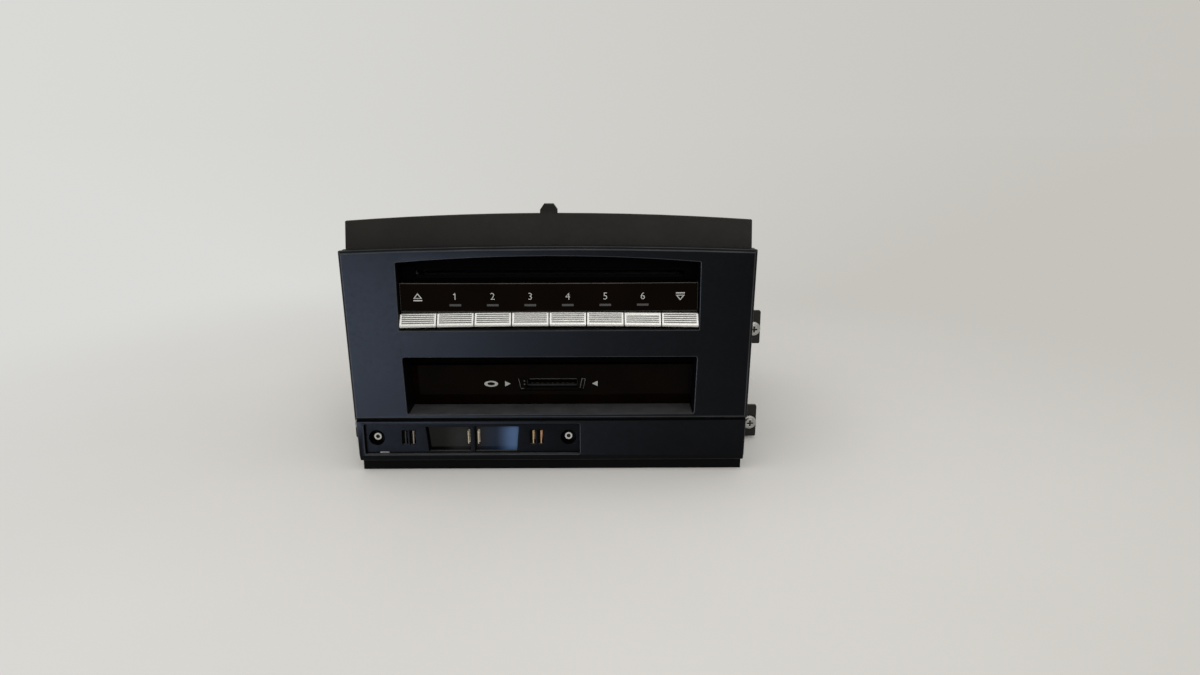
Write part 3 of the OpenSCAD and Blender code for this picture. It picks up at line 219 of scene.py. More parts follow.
def along_x(tree, stops, stepped):
    """A colour that changes along the width: stops are (x in mm, colour), from left to right."""
    left, right = stops[0][0], stops[-1][0]
    share = remap(tree, axes(tree, object_coords(tree))["X"], (left * MM, right * MM))
    placed = [((x - left) / (right - left), colour) for x, colour in stops]
    return ramp(tree, share, placed, "CONSTANT" if stepped else "EASE")


def finish(name, colour, vary, roughness, bump=None, metallic=0.0, specular=0.5, patch=PATCH, dust_and_sheen=None,
           stops=None, stepped=False):
    """A finish: colour varies by a share, in patch features to a metre, roughness is (low, high), and bump is
    (features in a metre, depth in mm)."""
    material = bpy.data.materials.new(name)
    material.use_nodes = True
    tree = material.node_tree
    dark = [channel * (1 - vary) for channel in colour]
    light = [min(1.0, channel * (1 + vary)) for channel in colour]
    shade = ramp(tree, noise(tree, patch), [(NOISE_CORE[0], dark), (NOISE_CORE[1], light)])
    if stops:
        feeds = {"Factor": 1.0, "A": shade, "B": along_x(tree, stops, stepped)}
        shade = add(tree, "ShaderNodeMix", feeds, data_type="RGBA", blend_type="MULTIPLY").outputs["Result"]
    # Lighter faces that look up: partly dust, partly a painted sheen of the light from above
    if dust_and_sheen:
        shade = dusted(tree, shade, dust_and_sheen)
    looks = {"Base Color": shade, "Metallic": metallic, "Specular IOR Level": specular}
    looks["Roughness"] = spread(tree, noise(tree, patch * FINER), *roughness)
    if bump:
        grain, depth = bump
        feeds = {"Strength": 1.0, "Distance": depth * MM, "Height": noise(tree, grain, BUMP_DETAIL)}
        looks["Normal"] = add(tree, "ShaderNodeBump", feeds).outputs["Normal"]
    shader = tree.nodes["Principled BSDF"]
    for key, value in looks.items():
        feed(tree, shader.inputs[key], value)
    return material


def finishes_of(looks):
    """The finishes of a table of looks, by name."""
    return {name: finish(name, **look) for name, look in looks.items()}


print("a finish is made with:", [part.__name__ for part in (spread, dusted, along_x, finish)])

# %% [markdown]
# Finishes of the material slots
#
# The fascia is a fine-grained black moulding with a cool sheen, the visor behind it a plainer and warmer
# black. The strip and the card panel are gloss brown-black. The keys are painted satin silver. Behind the
# front it is zinc-coated sheet, black painted brackets, plated screws and green boards.

# %% Make one finish for each slot
# The lighter tone of the faces that look up: partly dust, partly painted sheen
DUST_AND_SHEEN = (0.070, 0.070, 0.071)
SLOT_LOOKS = {
    "fascia_black": dict(colour=(0.0030, 0.0032, 0.0036), vary=0.10, roughness=(0.34, 0.42),
                         bump=(2600, 0.010), specular=0.045, dust_and_sheen=DUST_AND_SHEEN),
    "visor_black": dict(colour=(0.0140, 0.0132, 0.0116), vary=0.10, roughness=(0.50, 0.60),
                        bump=(1800, 0.012), specular=0.12),
    "gloss_black": dict(colour=(0.0030, 0.0014, 0.0006), vary=0.18, roughness=(0.03, 0.06), specular=0.03),
    "key_silver": dict(colour=(0.63, 0.63, 0.605), vary=0.03, roughness=(0.32, 0.38), bump=(7000, 0.0008),
                       metallic=0.55, patch=90),
    "light_guide": dict(colour=(0.75, 0.78, 0.80), vary=0.04, roughness=(0.10, 0.20)),
    "lip_rubber": dict(colour=(0.0020, 0.0020, 0.0020), vary=0.15, roughness=(0.62, 0.75), bump=(3000, 0.02),
                       specular=0.05),
    "inner_plastic": dict(colour=(0.0120, 0.0125, 0.0140), vary=0.12, roughness=(0.45, 0.60),
                          bump=(1500, 0.02)),
    "mat_rubber": dict(colour=(0.26, 0.28, 0.30), vary=0.06, roughness=(0.55, 0.70), bump=(900, 0.03)),
    "board": dict(colour=(0.012, 0.100, 0.038), vary=0.25, roughness=(0.25, 0.40), bump=(700, 0.03),
                  patch=220),
    "board_black": dict(colour=(0.0060, 0.0070, 0.0065), vary=0.20, roughness=(0.30, 0.45), bump=(700, 0.03),
                        patch=220),
    "sheet_steel": dict(colour=(0.37, 0.38, 0.37), vary=0.06, roughness=(0.50, 0.62), bump=(900, 0.008),
                        metallic=0.85, patch=140),
    "bracket_black": dict(colour=(0.0062, 0.0056, 0.0046), vary=0.15, roughness=(0.40, 0.55),
                          bump=(1400, 0.02), specular=0.3),
    "screw_steel": dict(colour=(0.60, 0.60, 0.58), vary=0.06, roughness=(0.22, 0.34), bump=(2400, 0.006),
                        metallic=1.0, patch=300),
    "brass": dict(colour=(0.52, 0.33, 0.11), vary=0.10, roughness=(0.25, 0.38), bump=(2000, 0.008),
                  metallic=1.0, patch=250),
    "socket_black": dict(colour=(0.012, 0.013, 0.015), vary=0.12, roughness=(0.35, 0.50), bump=(1600, 0.015)),
    "socket_blue": dict(colour=(0.020, 0.070, 0.230), vary=0.10, roughness=(0.30, 0.45), bump=(1600, 0.015)),
    "nylon": dict(colour=(0.66, 0.62, 0.52), vary=0.05, roughness=(0.40, 0.55), bump=(1200, 0.01)),
    "roller_rubber": dict(colour=(0.016, 0.016, 0.016), vary=0.15, roughness=(0.60, 0.75), bump=(2200, 0.03)),
    "motor_steel": dict(colour=(0.50, 0.51, 0.51), vary=0.05, roughness=(0.22, 0.34), bump=(1500, 0.006),
                        metallic=1.0),
}
FINISHES = finishes_of(SLOT_LOOKS)
print("finishes of slots:", len(FINISHES))

# %% [markdown]
# Finishes of single places
#
# Some nodes and faces look unlike the rest of their slot: painted highlights on the rounded edges, painted
# shade in the dark mouths, grooves and recesses, the spring leaves and the windows of the bay, and the
# print, where some grey lines on the card panel are painted highlights. The leaves and the windows change
# along the width, the windows as a painted reflection.

# %% Make the finishes of single places
LEAF_TONES = [(-75, (0.06, 0.06, 0.06)), (-69.3, (0.34, 0.30, 0.25)), (-55, (0.60, 0.54, 0.43)),
              (-20, (0.66, 0.48, 0.28)), (-7.3, (0.66, 0.40, 0.26)), (0, (0.66, 0.40, 0.26))]
# The bay's gloss windows carry a painted reflection: black at the left, bright blue at the right
LENS_REFLECTION_TONES = [(-60, (0.002, 0.002, 0.002)), (-54, (0.003, 0.003, 0.003)), (-45, (0.021, 0.021, 0.022)),
              (-37, (0.014, 0.014, 0.015)), (-28, (0.012, 0.022, 0.045)), (-17, (0.115, 0.210, 0.420))]
PLACE_LOOKS = {
    "fascia_painted_highlight": dict(colour=(0.030, 0.031, 0.034), vary=0.25, roughness=(0.45, 0.55), bump=(2600, 0.006),
                        specular=0.13),
    "strip_painted_highlight": dict(colour=(0.055, 0.053, 0.050), vary=0.25, roughness=(0.20, 0.30), bump=(2600, 0.004),
                       specular=0.13),
    # Near black with almost no sheen: painted shade for the deep slots and the bay's counterbores
    "painted_shade_black": dict(colour=(0.0016, 0.0016, 0.0017), vary=0.20, roughness=(0.60, 0.75), bump=(1800, 0.02),
                        specular=0.02),
    "bay_black": dict(colour=(0.0034, 0.0035, 0.0036), vary=0.10, roughness=(0.34, 0.42), bump=(2600, 0.010),
                      specular=0.018, dust_and_sheen=DUST_AND_SHEEN),
    "painted_groove_shade": dict(colour=(0.15, 0.15, 0.145), vary=0.10, roughness=(0.40, 0.50), bump=(6000, 0.001),
                        metallic=0.3, patch=300),
    "contact_dark": dict(colour=(0.075, 0.055, 0.028), vary=0.15, roughness=(0.35, 0.45), bump=(2000, 0.008),
                         metallic=1.0, patch=250),
    # Dark steel in the screw recesses: painted shade
    "recess_painted_shade": dict(colour=(0.030, 0.030, 0.030), vary=0.20, roughness=(0.40, 0.55), bump=(2400, 0.006),
                        metallic=0.5, patch=300),
    "ear_steel": dict(colour=(0.40, 0.40, 0.38), vary=0.08, roughness=(0.28, 0.40), bump=(2400, 0.006),
                      metallic=1.0, patch=300),
    "leaf_metal": dict(colour=(1.0, 1.0, 1.0), vary=0.10, roughness=(0.25, 0.38), bump=(2000, 0.008),
                       metallic=1.0, patch=250, stops=LEAF_TONES, stepped=True),
    "lens_painted_reflection": dict(colour=(1.0, 1.0, 1.0), vary=0.15, roughness=(0.04, 0.08), specular=0.2,
                      stops=LENS_REFLECTION_TONES),
    "print_white": dict(colour=(0.50, 0.50, 0.49), vary=0.04, roughness=(0.45, 0.55)),
    "grey_print_and_painted_highlight": dict(colour=(0.105, 0.105, 0.103), vary=0.06, roughness=(0.45, 0.55)),
    "print_dim": dict(colour=(0.046, 0.046, 0.045), vary=0.06, roughness=(0.45, 0.55)),
}
FINISHES.update(finishes_of(PLACE_LOOKS))
print("finishes in all:", len(FINISHES))

# %% Give each node its finish
# The slot mask, disc guide and card carrier take painted shade, and the bay's windows a painted reflection
SPECIAL = {"bay_plate": "bay_black", "slot_mask": "painted_shade_black", "disc_guide": "painted_shade_black",
           "card_carrier": "painted_shade_black", "spring_clips": "leaf_metal", "bay_windows": "lens_painted_reflection",
           "ear_screws": "ear_steel"}
SLOT_OF = {entry["node"]: entry["material_slot"] for entry in frame["record"]["subparts"]}
BODY_OF = {node: body for body, members in frame["record"]["behaviour"]["bodies"].items() for node in members}
for node, slot in SLOT_OF.items():
    materials = nodes[node].data.materials
    materials.clear()
    materials.append(FINISHES[SPECIAL.get(node, slot)])
print("nodes with a finish of their own:", len(SPECIAL))

# %% [markdown]
# Softened edges
#
# No moulding or pressing has a perfectly sharp edge, and it is the small round on an edge that catches
# the light. Each solid in the list below is copied, its loose triangles are merged, and a bevel of a few
# tenths of a millimetre rounds its edges. A bevel can fold over itself at a short edge, so each copy's
# area and reach are compared with the solid's. A good one stands for the solid. A bad one is made again
# with its faces joined another way or with less round, and where none is good the solid keeps its own
# edges.

# %% Define how a solid is softened
SMOOTH_ANGLE = math.radians(32)
PLAIN_ANGLE = math.radians(0.4)
MERGE_MM = 0.03
ROUND_SHARES = (1.0, 0.6, 0.3)
AREA_LOW, AREA_HIGH = 0.90, 1.001
REACH_MM = 0.06
# Lighter finishes for the bevels of these copies: painted highlights on their rounded edges
EDGE_HIGHLIGHTS = {"front_panel": "fascia_painted_highlight", "lower_panel": "fascia_painted_highlight", "label_strip": "strip_painted_highlight"}


def link(name, data):
    """A new object in the scene."""
    piece = bpy.data.objects.new(name, data)
    scene.collection.objects.link(piece)
    return piece


def settle(piece, node):
    """A new piece rides with a node's body."""
    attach(piece, BODY_OF[node])
    return piece


def welded(node, distance):
    """A solid's mesh with its loose corners merged."""
    shape = bmesh.new()
    shape.from_mesh(nodes[node].data)
    bmesh.ops.remove_doubles(shape, verts=shape.verts, dist=distance)
    return shape


def mesh_from(shape, name):
    """A mesh from an edited shape, which is freed."""
    mesh = bpy.data.meshes.new(name)
    shape.to_mesh(mesh)
    shape.free()
    return mesh


def made_mesh(piece):
    """The mesh that a piece's modifiers or text make; the piece itself is removed."""
    mesh = bpy.data.meshes.new_from_object(piece.evaluated_get(bpy.context.evaluated_depsgraph_get()))
    bpy.data.objects.remove(piece)
    return mesh


def merged_copy(node, plain_faces, reshape):
    """A copy of a solid's mesh with its corners merged and, if asked, its triangles joined into plain faces.
    A reshape function, where there is one, says where each corner goes."""
    shape = welded(node, MERGE_MM * MM)
    if plain_faces:
        bmesh.ops.dissolve_limit(shape, angle_limit=PLAIN_ANGLE, verts=shape.verts, edges=shape.edges)
    if reshape:
        for vert in shape.verts:
            vert.co = reshape(vert.co)
    mesh = mesh_from(shape, f"{node}_soft")
    mesh.materials.append(nodes[node].data.materials[0])
    if node in EDGE_HIGHLIGHTS:
        mesh.materials.append(FINISHES[EDGE_HIGHLIGHTS[node]])
    for face in mesh.polygons:
        face.use_smooth = True
    return mesh


def rounded(node, width, plain_faces, reshape):
    """The copy with its edges rounded, its large faces cut into triangles and its flat faces shaded flat."""
    piece = link(f"{node}_soft", merged_copy(node, plain_faces, reshape))
    bevel = piece.modifiers.new("round_edges", "BEVEL")
    bevel.width = width * MM
    bevel.segments = 2
    bevel.limit_method = "ANGLE"
    bevel.angle_limit = SMOOTH_ANGLE
    bevel.miter_outer = "MITER_ARC"
    bevel.use_clamp_overlap = False
    # The bevel faces take the last finish: a painted highlight where the node has one, else its own
    bevel.material = len(piece.data.materials) - 1
    piece.modifiers.new("cut_large_faces", "TRIANGULATE").min_vertices = 5
    piece.modifiers.new("flat_faces", "WEIGHTED_NORMAL").keep_sharp = True
    return made_mesh(piece)


def area_of(mesh):
    """The area of a mesh, in square metres."""
    mesh.calc_loop_triangles()
    return sum(triangle.area for triangle in mesh.loop_triangles)


def reach_past(mesh, node):
    """How far a mesh goes outside its solid's box, in millimetres."""
    low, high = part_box(node)
    past = [max(low[axis] - point.co[axis], point.co[axis] - high[axis])
            for point in mesh.vertices for axis in range(3)]
    return max(past) / MM


def soften(node, width, reshape=None):
    """The first good rounded copy of a solid stands for it. A good one has a little less area than the solid,
    and it stays in the solid's box."""
    area = area_of(nodes[node].data)
    ratios = []
    for share in ROUND_SHARES:
        for plain_faces in (True, False):
            mesh = rounded(node, width * share, plain_faces, reshape)
            ratio = area_of(mesh) / area
            ratios.append(round(ratio, 3))
            if AREA_LOW < ratio < AREA_HIGH and reach_past(mesh, node) < REACH_MM:
                piece = link(f"{node}_soft", mesh)
                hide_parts(node)
                print(node, "rounded by", round(width * share, 2), "mm, area", ratios[-1])
                return settle(piece, node)
    print(node, "keeps its own edges:", ratios)
    return nodes[node]


print("shares of a round that are tried:", ROUND_SHARES)

# %% Soften the edges of the visible solids
EDGE_ROUNDS = {
    "front_panel": 0.35, "lower_panel": 0.35, "carrier_frame": 0.4, "label_strip": 0.3, "slot_mask": 0.25,
    "card_panel": 0.25, "card_carrier": 0.25, "bay_plate": 0.25, "left_bracket": 0.3, "right_bracket": 0.3,
    "chassis_tray": 0.25, "top_cover": 0.25, "power_socket": 0.3, "optical_socket": 0.25, "ear_screws": 0.12}
softened = {node: soften(node, width) for node, width in EDGE_ROUNDS.items()}
print("solids tried:", len(softened))

# %% [markdown]
# Keys with painted shade in their grooves
#
# Five grooves run across each key's sloping face. They are cut in the solid, but they are so fine that
# they only show if the light stays out of them. The faces that lie below the slope get a darker finish,
# a painted shade for the grooves. The real keys also curl under at their noses, and their row is bowed:
# the end keys sit lower. Each copy of a key is bent to that shape before its edges are rounded, a
# millimetre at most.

# %% Define the shape of the keys
KEYS = ["eject_key"] + [f"disc_key_{number}" for number in range(1, 7)] + ["load_key"]
KEY_ROUND = 0.1
KEY_BOTTOM, KEY_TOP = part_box("eject_key")[0].z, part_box("eject_key")[1].z
KEY_FRONT_DEPTH = 2.8
SLOPE = math.radians(60)
SLOPE_FOOT = place(0, -0.043, 75.1)
UP_SLOPE = Vector((0, math.cos(SLOPE), math.sin(SLOPE)))
INTO_SLOPE = Vector((0, math.sin(SLOPE), -math.cos(SLOPE)))
RAMP_LEN, RAMP_STRETCH = 4.4 * MM, 1.2
NOSE_R, CURLED_R = 6.4 * MM, 1.0 * MM
NOSE_TURN, CURLED_TURN = math.radians(30), math.radians(120)
ROW_BOW, ROW_HALF = 0.6 * MM, 65 * MM
GROOVE_FROM, GROOVE_TO = 0.1, 0.4
SLACK = 0.01 * MM
new_foot = SLOPE_FOOT + UP_SLOPE * RAMP_LEN * (1 - RAMP_STRETCH)
curl_centre = new_foot + INTO_SLOPE * CURLED_R


def row_drop(x):
    """How much lower the bowed row of keys lies at x, as a vector up."""
    return Vector((0, 0, ROW_BOW * (x / ROW_HALF) ** 2))


def key_shape(point):
    """Where a corner of a key goes: the ridged face grows down, the nose curls under, the row is bowed."""
    if depth_of(point) > KEY_FRONT_DEPTH:
        return point - row_drop(point.x) if point.z > KEY_TOP - SLACK else point
    offset = Vector((0, point.y, point.z)) - SLOPE_FOOT
    rise = offset.dot(UP_SLOPE)
    if rise > -SLACK:
        grown = RAMP_LEN - (RAMP_LEN - rise) * RAMP_STRETCH
        moved = SLOPE_FOOT + UP_SLOPE * grown + INTO_SLOPE * offset.dot(INTO_SLOPE)
    else:
        share = math.asin((point.z - KEY_BOTTOM) / NOSE_R) / NOSE_TURN
        turn = share * CURLED_TURN - math.radians(90)
        moved = curl_centre + CURLED_R * Vector((0, -math.cos(turn), math.sin(turn)))
    return Vector((point.x, moved.y, moved.z)) - row_drop(point.x)


def in_groove(point):
    """True for a point that lies below the sloping face, but not as deep as the key's inside."""
    level_point = point + row_drop(point.x)
    below = (level_point - SLOPE_FOOT).dot(INTO_SLOPE) / MM
    return GROOVE_FROM < below < GROOVE_TO and level_point.z > new_foot.z


def repaint(piece, name, belongs):
    """Gives the faces whose middles pass a test another finish."""
    piece.data.materials.append(FINISHES[name])
    index = len(piece.data.materials) - 1
    chosen = [face for face in piece.data.polygons if belongs(face.center)]
    for face in chosen:
        face.material_index = index
    print(piece.name, "has", len(chosen), "faces in", name)


print("keys:", len(KEYS), "with ridged faces of", round(RAMP_LEN * RAMP_STRETCH / MM, 2), "mm")

# %% Soften the keys and paint shade into their grooves
for key in KEYS:
    softened[key] = soften(key, KEY_ROUND, key_shape)
    repaint(softened[key], "painted_groove_shade", in_groove)

# %% [markdown]
# Places with a finish of their own
#
# Some faces of a solid look unlike the rest of it. The bay's counterbores and the cross recesses of the
# ear screws are dark, a painted shade, the strip under the lower panel is as black as the fascia, and
# the painted highlight on the lower panel's edges is taken off at its fold.

# %% Repaint counterbores, recesses, base strip and fold
BAY_SCREWS = [(-84.7, 16.5), (8.2, 16.5)]
COUNTERBORE_R = 3.8
PLATE_FACE = 4.0
EAR_X, EAR_Z, EAR_STEP = 103.1, 9.2, 51.3
EAR_SCREWS = [(side * EAR_X, EAR_Z + step * EAR_STEP) for side in (-1, 1) for step in (0, 1)]
EAR_HEAD_FRONT = 41.2
RECESS_FROM, RECESS_TO = 0.15, 1.3
RECESS_R = 1.7
BASE_STRIP_H = 5.3
FOLD_FROM, FOLD_TO = 24.6, 29.0


def near_axis(point, places, reach):
    """True near one of the lines that run straight back through places, (x, z) in millimetres."""
    return any(math.hypot(point.x / MM - x, point.z / MM - z) < reach for x, z in places)


def in_counterbore(point):
    return depth_of(point) > PLATE_FACE and near_axis(point, BAY_SCREWS, COUNTERBORE_R)


def in_cross(point):
    deep = RECESS_FROM < depth_of(point) - EAR_HEAD_FRONT < RECESS_TO
    return deep and near_axis(point, EAR_SCREWS, RECESS_R)


def in_base_strip(point):
    return point.z < BASE_STRIP_H * MM


def at_fold(point):
    return FOLD_FROM < point.z / MM < FOLD_TO


# Painted shade in the bay's counterbores
repaint(softened["bay_plate"], "painted_shade_black", in_counterbore)
# Painted shade in the ear screws' cross recesses
repaint(softened["ear_screws"], "recess_painted_shade", in_cross)
repaint(softened["carrier_frame"], "fascia_black", in_base_strip)
# The lower panel's fold loses its painted highlight
repaint(softened["lower_panel"], "fascia_black", at_fold)

# %% [markdown]
# Printed marks
#
# The marks on the gloss pieces are white or grey print, and some grey lines on the card panel are painted
# highlights. Each is drawn flat in millimetres, dropped onto the surface behind it with rays, and given a
# thickness of a few hundredths of a millimetre, so that it follows the strip's bow.

# %% Define how a mark is printed
PRINT_T = 0.05
RAY_START = -50
SAME_CORNER = 0.0001 * MM
BACKWARDS = Vector((0, 1, 0))


def surface_of(node):
    """A solid's surface, for rays."""
    points = [vertex.co.copy() for vertex in nodes[node].data.vertices]
    faces = [list(face.vertices) for face in nodes[node].data.polygons]
    return BVHTree.FromPolygons(points, faces)


def print_on(name, node, outlines, finish_name):
    """Prints outlines, lists of (x, z) in millimetres, on the front of a node."""
    surface = surface_of(node)
    shape = bmesh.new()
    for outline in outlines:
        fronts, backs = [], []
        for x, z in outline:
            hit = surface.ray_cast(place(x, RAY_START, z), BACKWARDS)[0]
            fronts.append(shape.verts.new((x * MM, hit.y - PRINT_T * MM, z * MM)))
            backs.append(shape.verts.new((x * MM, hit.y + PRINT_T * MM, z * MM)))
        shape.faces.new(fronts)
        shape.faces.new(backs)
        count = len(outline)
        for i in range(count):
            shape.faces.new((fronts[i], fronts[(i + 1) % count], backs[(i + 1) % count], backs[i]))
    bmesh.ops.remove_doubles(shape, verts=shape.verts, dist=SAME_CORNER)
    bmesh.ops.recalc_face_normals(shape, faces=shape.faces)
    mesh = mesh_from(shape, name)
    mesh.materials.append(FINISHES[finish_name])
    print(name, "has", len(outlines), "outlines")
    return settle(link(name, mesh), node)


def bar(x0, x1, z0, z1):
    """The outline of an upright rectangle."""
    return [(x0, z0), (x1, z0), (x1, z1), (x0, z1)]


def ring(corners, centre, share):
    """The outline of a band between a shape and a smaller copy of it, as one strip per side."""
    inner = [(centre[0] + (x - centre[0]) * share, centre[1] + (z - centre[1]) * share) for x, z in corners]
    count = len(corners)
    return [[corners[i], corners[(i + 1) % count], inner[(i + 1) % count], inner[i]] for i in range(count)]


print("print stands out by", PRINT_T, "mm")

# %% [markdown]
# Numbers and symbols over the keys
#
# Plain numbers stand over the six disc keys, with a short grey dash under each. The eject key has an
# outlined triangle over a bar, and the load key the same symbol pointing down. The numbers come from
# Blender's own font: a text is made a mesh, and its triangles are printed one by one. The 1 gets a flag
# of its own.

# %% Define the numbers
KEY_PITCH = 17.4
MARK_Z = 86.6
DIGIT_H = 3.2
DIGIT_THIN = -0.012
FLAG = [(-0.87, 0.87), (-0.7, 0.52), (0.09, 1.17), (0, 1.56)]


def key_x(index):
    """The middle of a key, counted from the left."""
    return (index - (len(KEYS) - 1) / 2) * KEY_PITCH


def text_outlines(text, height, x, z):
    """The triangles of a text, centred on x and z, as outlines."""
    curve = bpy.data.curves.new("digit", "FONT")
    curve.body = text
    curve.resolution_u = 4
    curve.offset = DIGIT_THIN
    mesh = made_mesh(link("digit", curve))
    xs = [vertex.co.x for vertex in mesh.vertices]
    ys = [vertex.co.y for vertex in mesh.vertices]
    size = height / (max(ys) - min(ys))
    middle_x, middle_y = (max(xs) + min(xs)) / 2, (max(ys) + min(ys)) / 2
    flat = [(x + (v.co.x - middle_x) * size, z + (v.co.y - middle_y) * size) for v in mesh.vertices]
    mesh.calc_loop_triangles()
    return [[flat[corner] for corner in face.vertices] for face in mesh.loop_triangles]


print("middles of the keys:", [round(key_x(index), 1) for index in range(len(KEYS))])

# %% Print the numbers and symbols
DASH_Z = 82.4
DASH_HALF_W, DASH_HALF_H = 2.7, 0.5
DASH_PARTS = 6
SYMBOL_Z = 86.2
SYMBOL_HALF = 2.05
SYMBOL_FOOT, SYMBOL_TIP = -0.7, 1.9
SYMBOL_HOLE = 0.62
BAR_NEAR, BAR_FAR = -1.35, -1.9
key_white, key_dim = [], []
for number in range(1, 7):
    x = key_x(number)
    key_white += text_outlines(str(number), DIGIT_H, x, MARK_Z)
    if number == 1:
        key_white.append([(x + right, MARK_Z + up) for right, up in FLAG])
    cuts = [x - DASH_HALF_W + 2 * DASH_HALF_W * step / DASH_PARTS for step in range(DASH_PARTS + 1)]
    for left, right in zip(cuts, cuts[1:]):
        key_dim.append(bar(left, right, DASH_Z - DASH_HALF_H, DASH_Z + DASH_HALF_H))
for key, way in (("eject_key", 1), ("load_key", -1)):
    x = key_x(KEYS.index(key))
    foot, tip = SYMBOL_Z + SYMBOL_FOOT * way, SYMBOL_Z + SYMBOL_TIP * way
    triangle = [(x - SYMBOL_HALF, foot), (x + SYMBOL_HALF, foot), (x, tip)]
    key_white += ring(triangle, (x, foot + (tip - foot) / 3), SYMBOL_HOLE)
    low, high = sorted((SYMBOL_Z + BAR_NEAR * way, SYMBOL_Z + BAR_FAR * way))
    key_white.append(bar(x - SYMBOL_HALF, x + SYMBOL_HALF, low, high))
print_on("key_marks", "label_strip", key_white, "print_white")
print_on("key_dashes", "label_strip", key_dim, "print_dim")

# %% [markdown]
# Marks beside the card slot
#
# Two small triangles point at the slot, and a disc symbol stands beside the left one. Thin grey lines at
# both ends of the slot's pocket and a line along the slot are painted highlights on those edges, and two
# dots stand at its left end. A small label on the bay's plate is a plain bar.

# %% Print the card marks
CARD_Z = 40.2
ARROWS = [(-23.0, -20.3), (22.4, 19.7)]
ARROW_HALF = 1.35
OVAL_X, OVAL_HALF_W, OVAL_HALF_H = -29.8, 3.4, 1.5
OVAL_STEPS, OVAL_HOLE = 24, 0.55
LINE_TOP, LINE_W = 42.5, 0.3
BAY_LABEL = (-83.5, -79.2, 8.8, 9.3)


def slant(top_x, low_x, low_z):
    """The outline of a slanting line, from its left sides at the top and at the bottom."""
    return [(top_x, LINE_TOP), (top_x + LINE_W, LINE_TOP), (low_x + LINE_W, low_z), (low_x, low_z)]


arrows = [[(foot, CARD_Z - ARROW_HALF), (tip, CARD_Z), (foot, CARD_Z + ARROW_HALF)] for foot, tip in ARROWS]
turns = [step * math.tau / OVAL_STEPS for step in range(OVAL_STEPS)]
oval = [(OVAL_X + OVAL_HALF_W * math.cos(turn), CARD_Z + OVAL_HALF_H * math.sin(turn)) for turn in turns]
# Painted highlights on the ends of the slot's pocket and along its top edge; the two dots are print
left_end_highlight = [slant(-16.6, -15.5, 37.2), bar(-15.5, -13.9, 37.2, 37.5)]
right_end_highlight = [slant(16.3, 15.2, 37.2), slant(14.6, 13.6, 37.6), bar(14.9, 16.3, 42.2, 42.5)]
dots = [bar(-13.9, -13.3, 41.0, 41.5), bar(-13.9, -13.3, 39.3, 39.8)]
slot_edge_highlight = [bar(-11.0, 12.0, 42.2, 42.4)]
print_on("card_marks", "card_panel", arrows + ring(oval, (OVAL_X, CARD_Z), OVAL_HOLE), "print_white")
print_on("card_highlights_and_dots", "card_panel", left_end_highlight + right_end_highlight + dots + slot_edge_highlight, "grey_print_and_painted_highlight")
print_on("bay_label", "bay_plate", [bar(*BAY_LABEL)], "print_white")

# %% [markdown]
# Pieces on points
#
# Screws and contact pins are one shape in many places, so Geometry Nodes make them. A tree builds the
# shape and sets it on points, and each point carries the direction that its piece faces.

# %% Define trees that set a shape on points


def new_tree(name, lengths, **others):
    """A geometry tree with points, lengths and a finish as its inputs, and those inputs."""
    tree = bpy.data.node_groups.new(name, "GeometryNodeTree")
    kinds = {"Points": "Geometry", **dict.fromkeys(lengths, "Float"), "Finish": "Material", **others}
    for label, kind in kinds.items():
        tree.interface.new_socket(label, in_out="INPUT", socket_type=f"NodeSocket{kind}")
    tree.interface.new_socket("Pieces", in_out="OUTPUT", socket_type="NodeSocketGeometry")
    return tree, add(tree, "NodeGroupInput").outputs


def cylinder(tree, corners, radius, length, rings=1):
    feeds = {"Vertices": corners, "Side Segments": rings, "Radius": radius, "Depth": length}
    return add(tree, "GeometryNodeMeshCylinder", feeds, fill_type="NGON").outputs["Mesh"]


def cube(tree, x, y, z, levels=2):
    feeds = {"Size": vector_of(tree, X=x, Y=y, Z=z), "Vertices Z": levels}
    return add(tree, "GeometryNodeMeshCube", feeds).outputs["Mesh"]


def corner_axes(tree):
    """The X, Y and Z of each corner of a shape."""
    return axes(tree, add(tree, "GeometryNodeInputPosition").outputs["Position"])


def drawn_in(tree, shape, at, share, z):
    """A shape whose corners move to a share of their X and Y, and to z."""
    x = calc(tree, "MULTIPLY", at["X"], share)
    y = calc(tree, "MULTIPLY", at["Y"], share)
    feeds = {"Geometry": shape, "Position": vector_of(tree, X=x, Y=y, Z=z)}
    return add(tree, "GeometryNodeSetPosition", feeds).outputs["Geometry"]


def raised(tree, shape, height):
    feeds = {"Geometry": shape, "Translation": vector_of(tree, Z=height)}
    return add(tree, "GeometryNodeTransform", feeds).outputs["Geometry"]


def joined(tree, *shapes):
    node = add(tree, "GeometryNodeJoinGeometry")
    for shape in shapes:
        feed(tree, node.inputs["Geometry"], shape)
    return node.outputs["Geometry"]


def painted(tree, shape, material, where=True):
    feeds = {"Geometry": shape, "Selection": where, "Material": material}
    return add(tree, "GeometryNodeSetMaterial", feeds).outputs["Geometry"]


def set_on_points(tree, points, shape):
    """Sets a shape on every point, with its Z turned the way that the point faces."""
    facing = add(tree, "GeometryNodeInputNamedAttribute", {"Name": "facing"}, data_type="FLOAT_VECTOR")
    aim = add(tree, "FunctionNodeAlignRotationToVector", {"Vector": facing.outputs["Attribute"]}, axis="Z")
    feeds = {"Points": points, "Instance": shape, "Rotation": aim.outputs["Rotation"]}
    placed = add(tree, "GeometryNodeInstanceOnPoints", feeds).outputs["Instances"]
    return add(tree, "GeometryNodeRealizeInstances", {"Geometry": placed}).outputs["Geometry"]


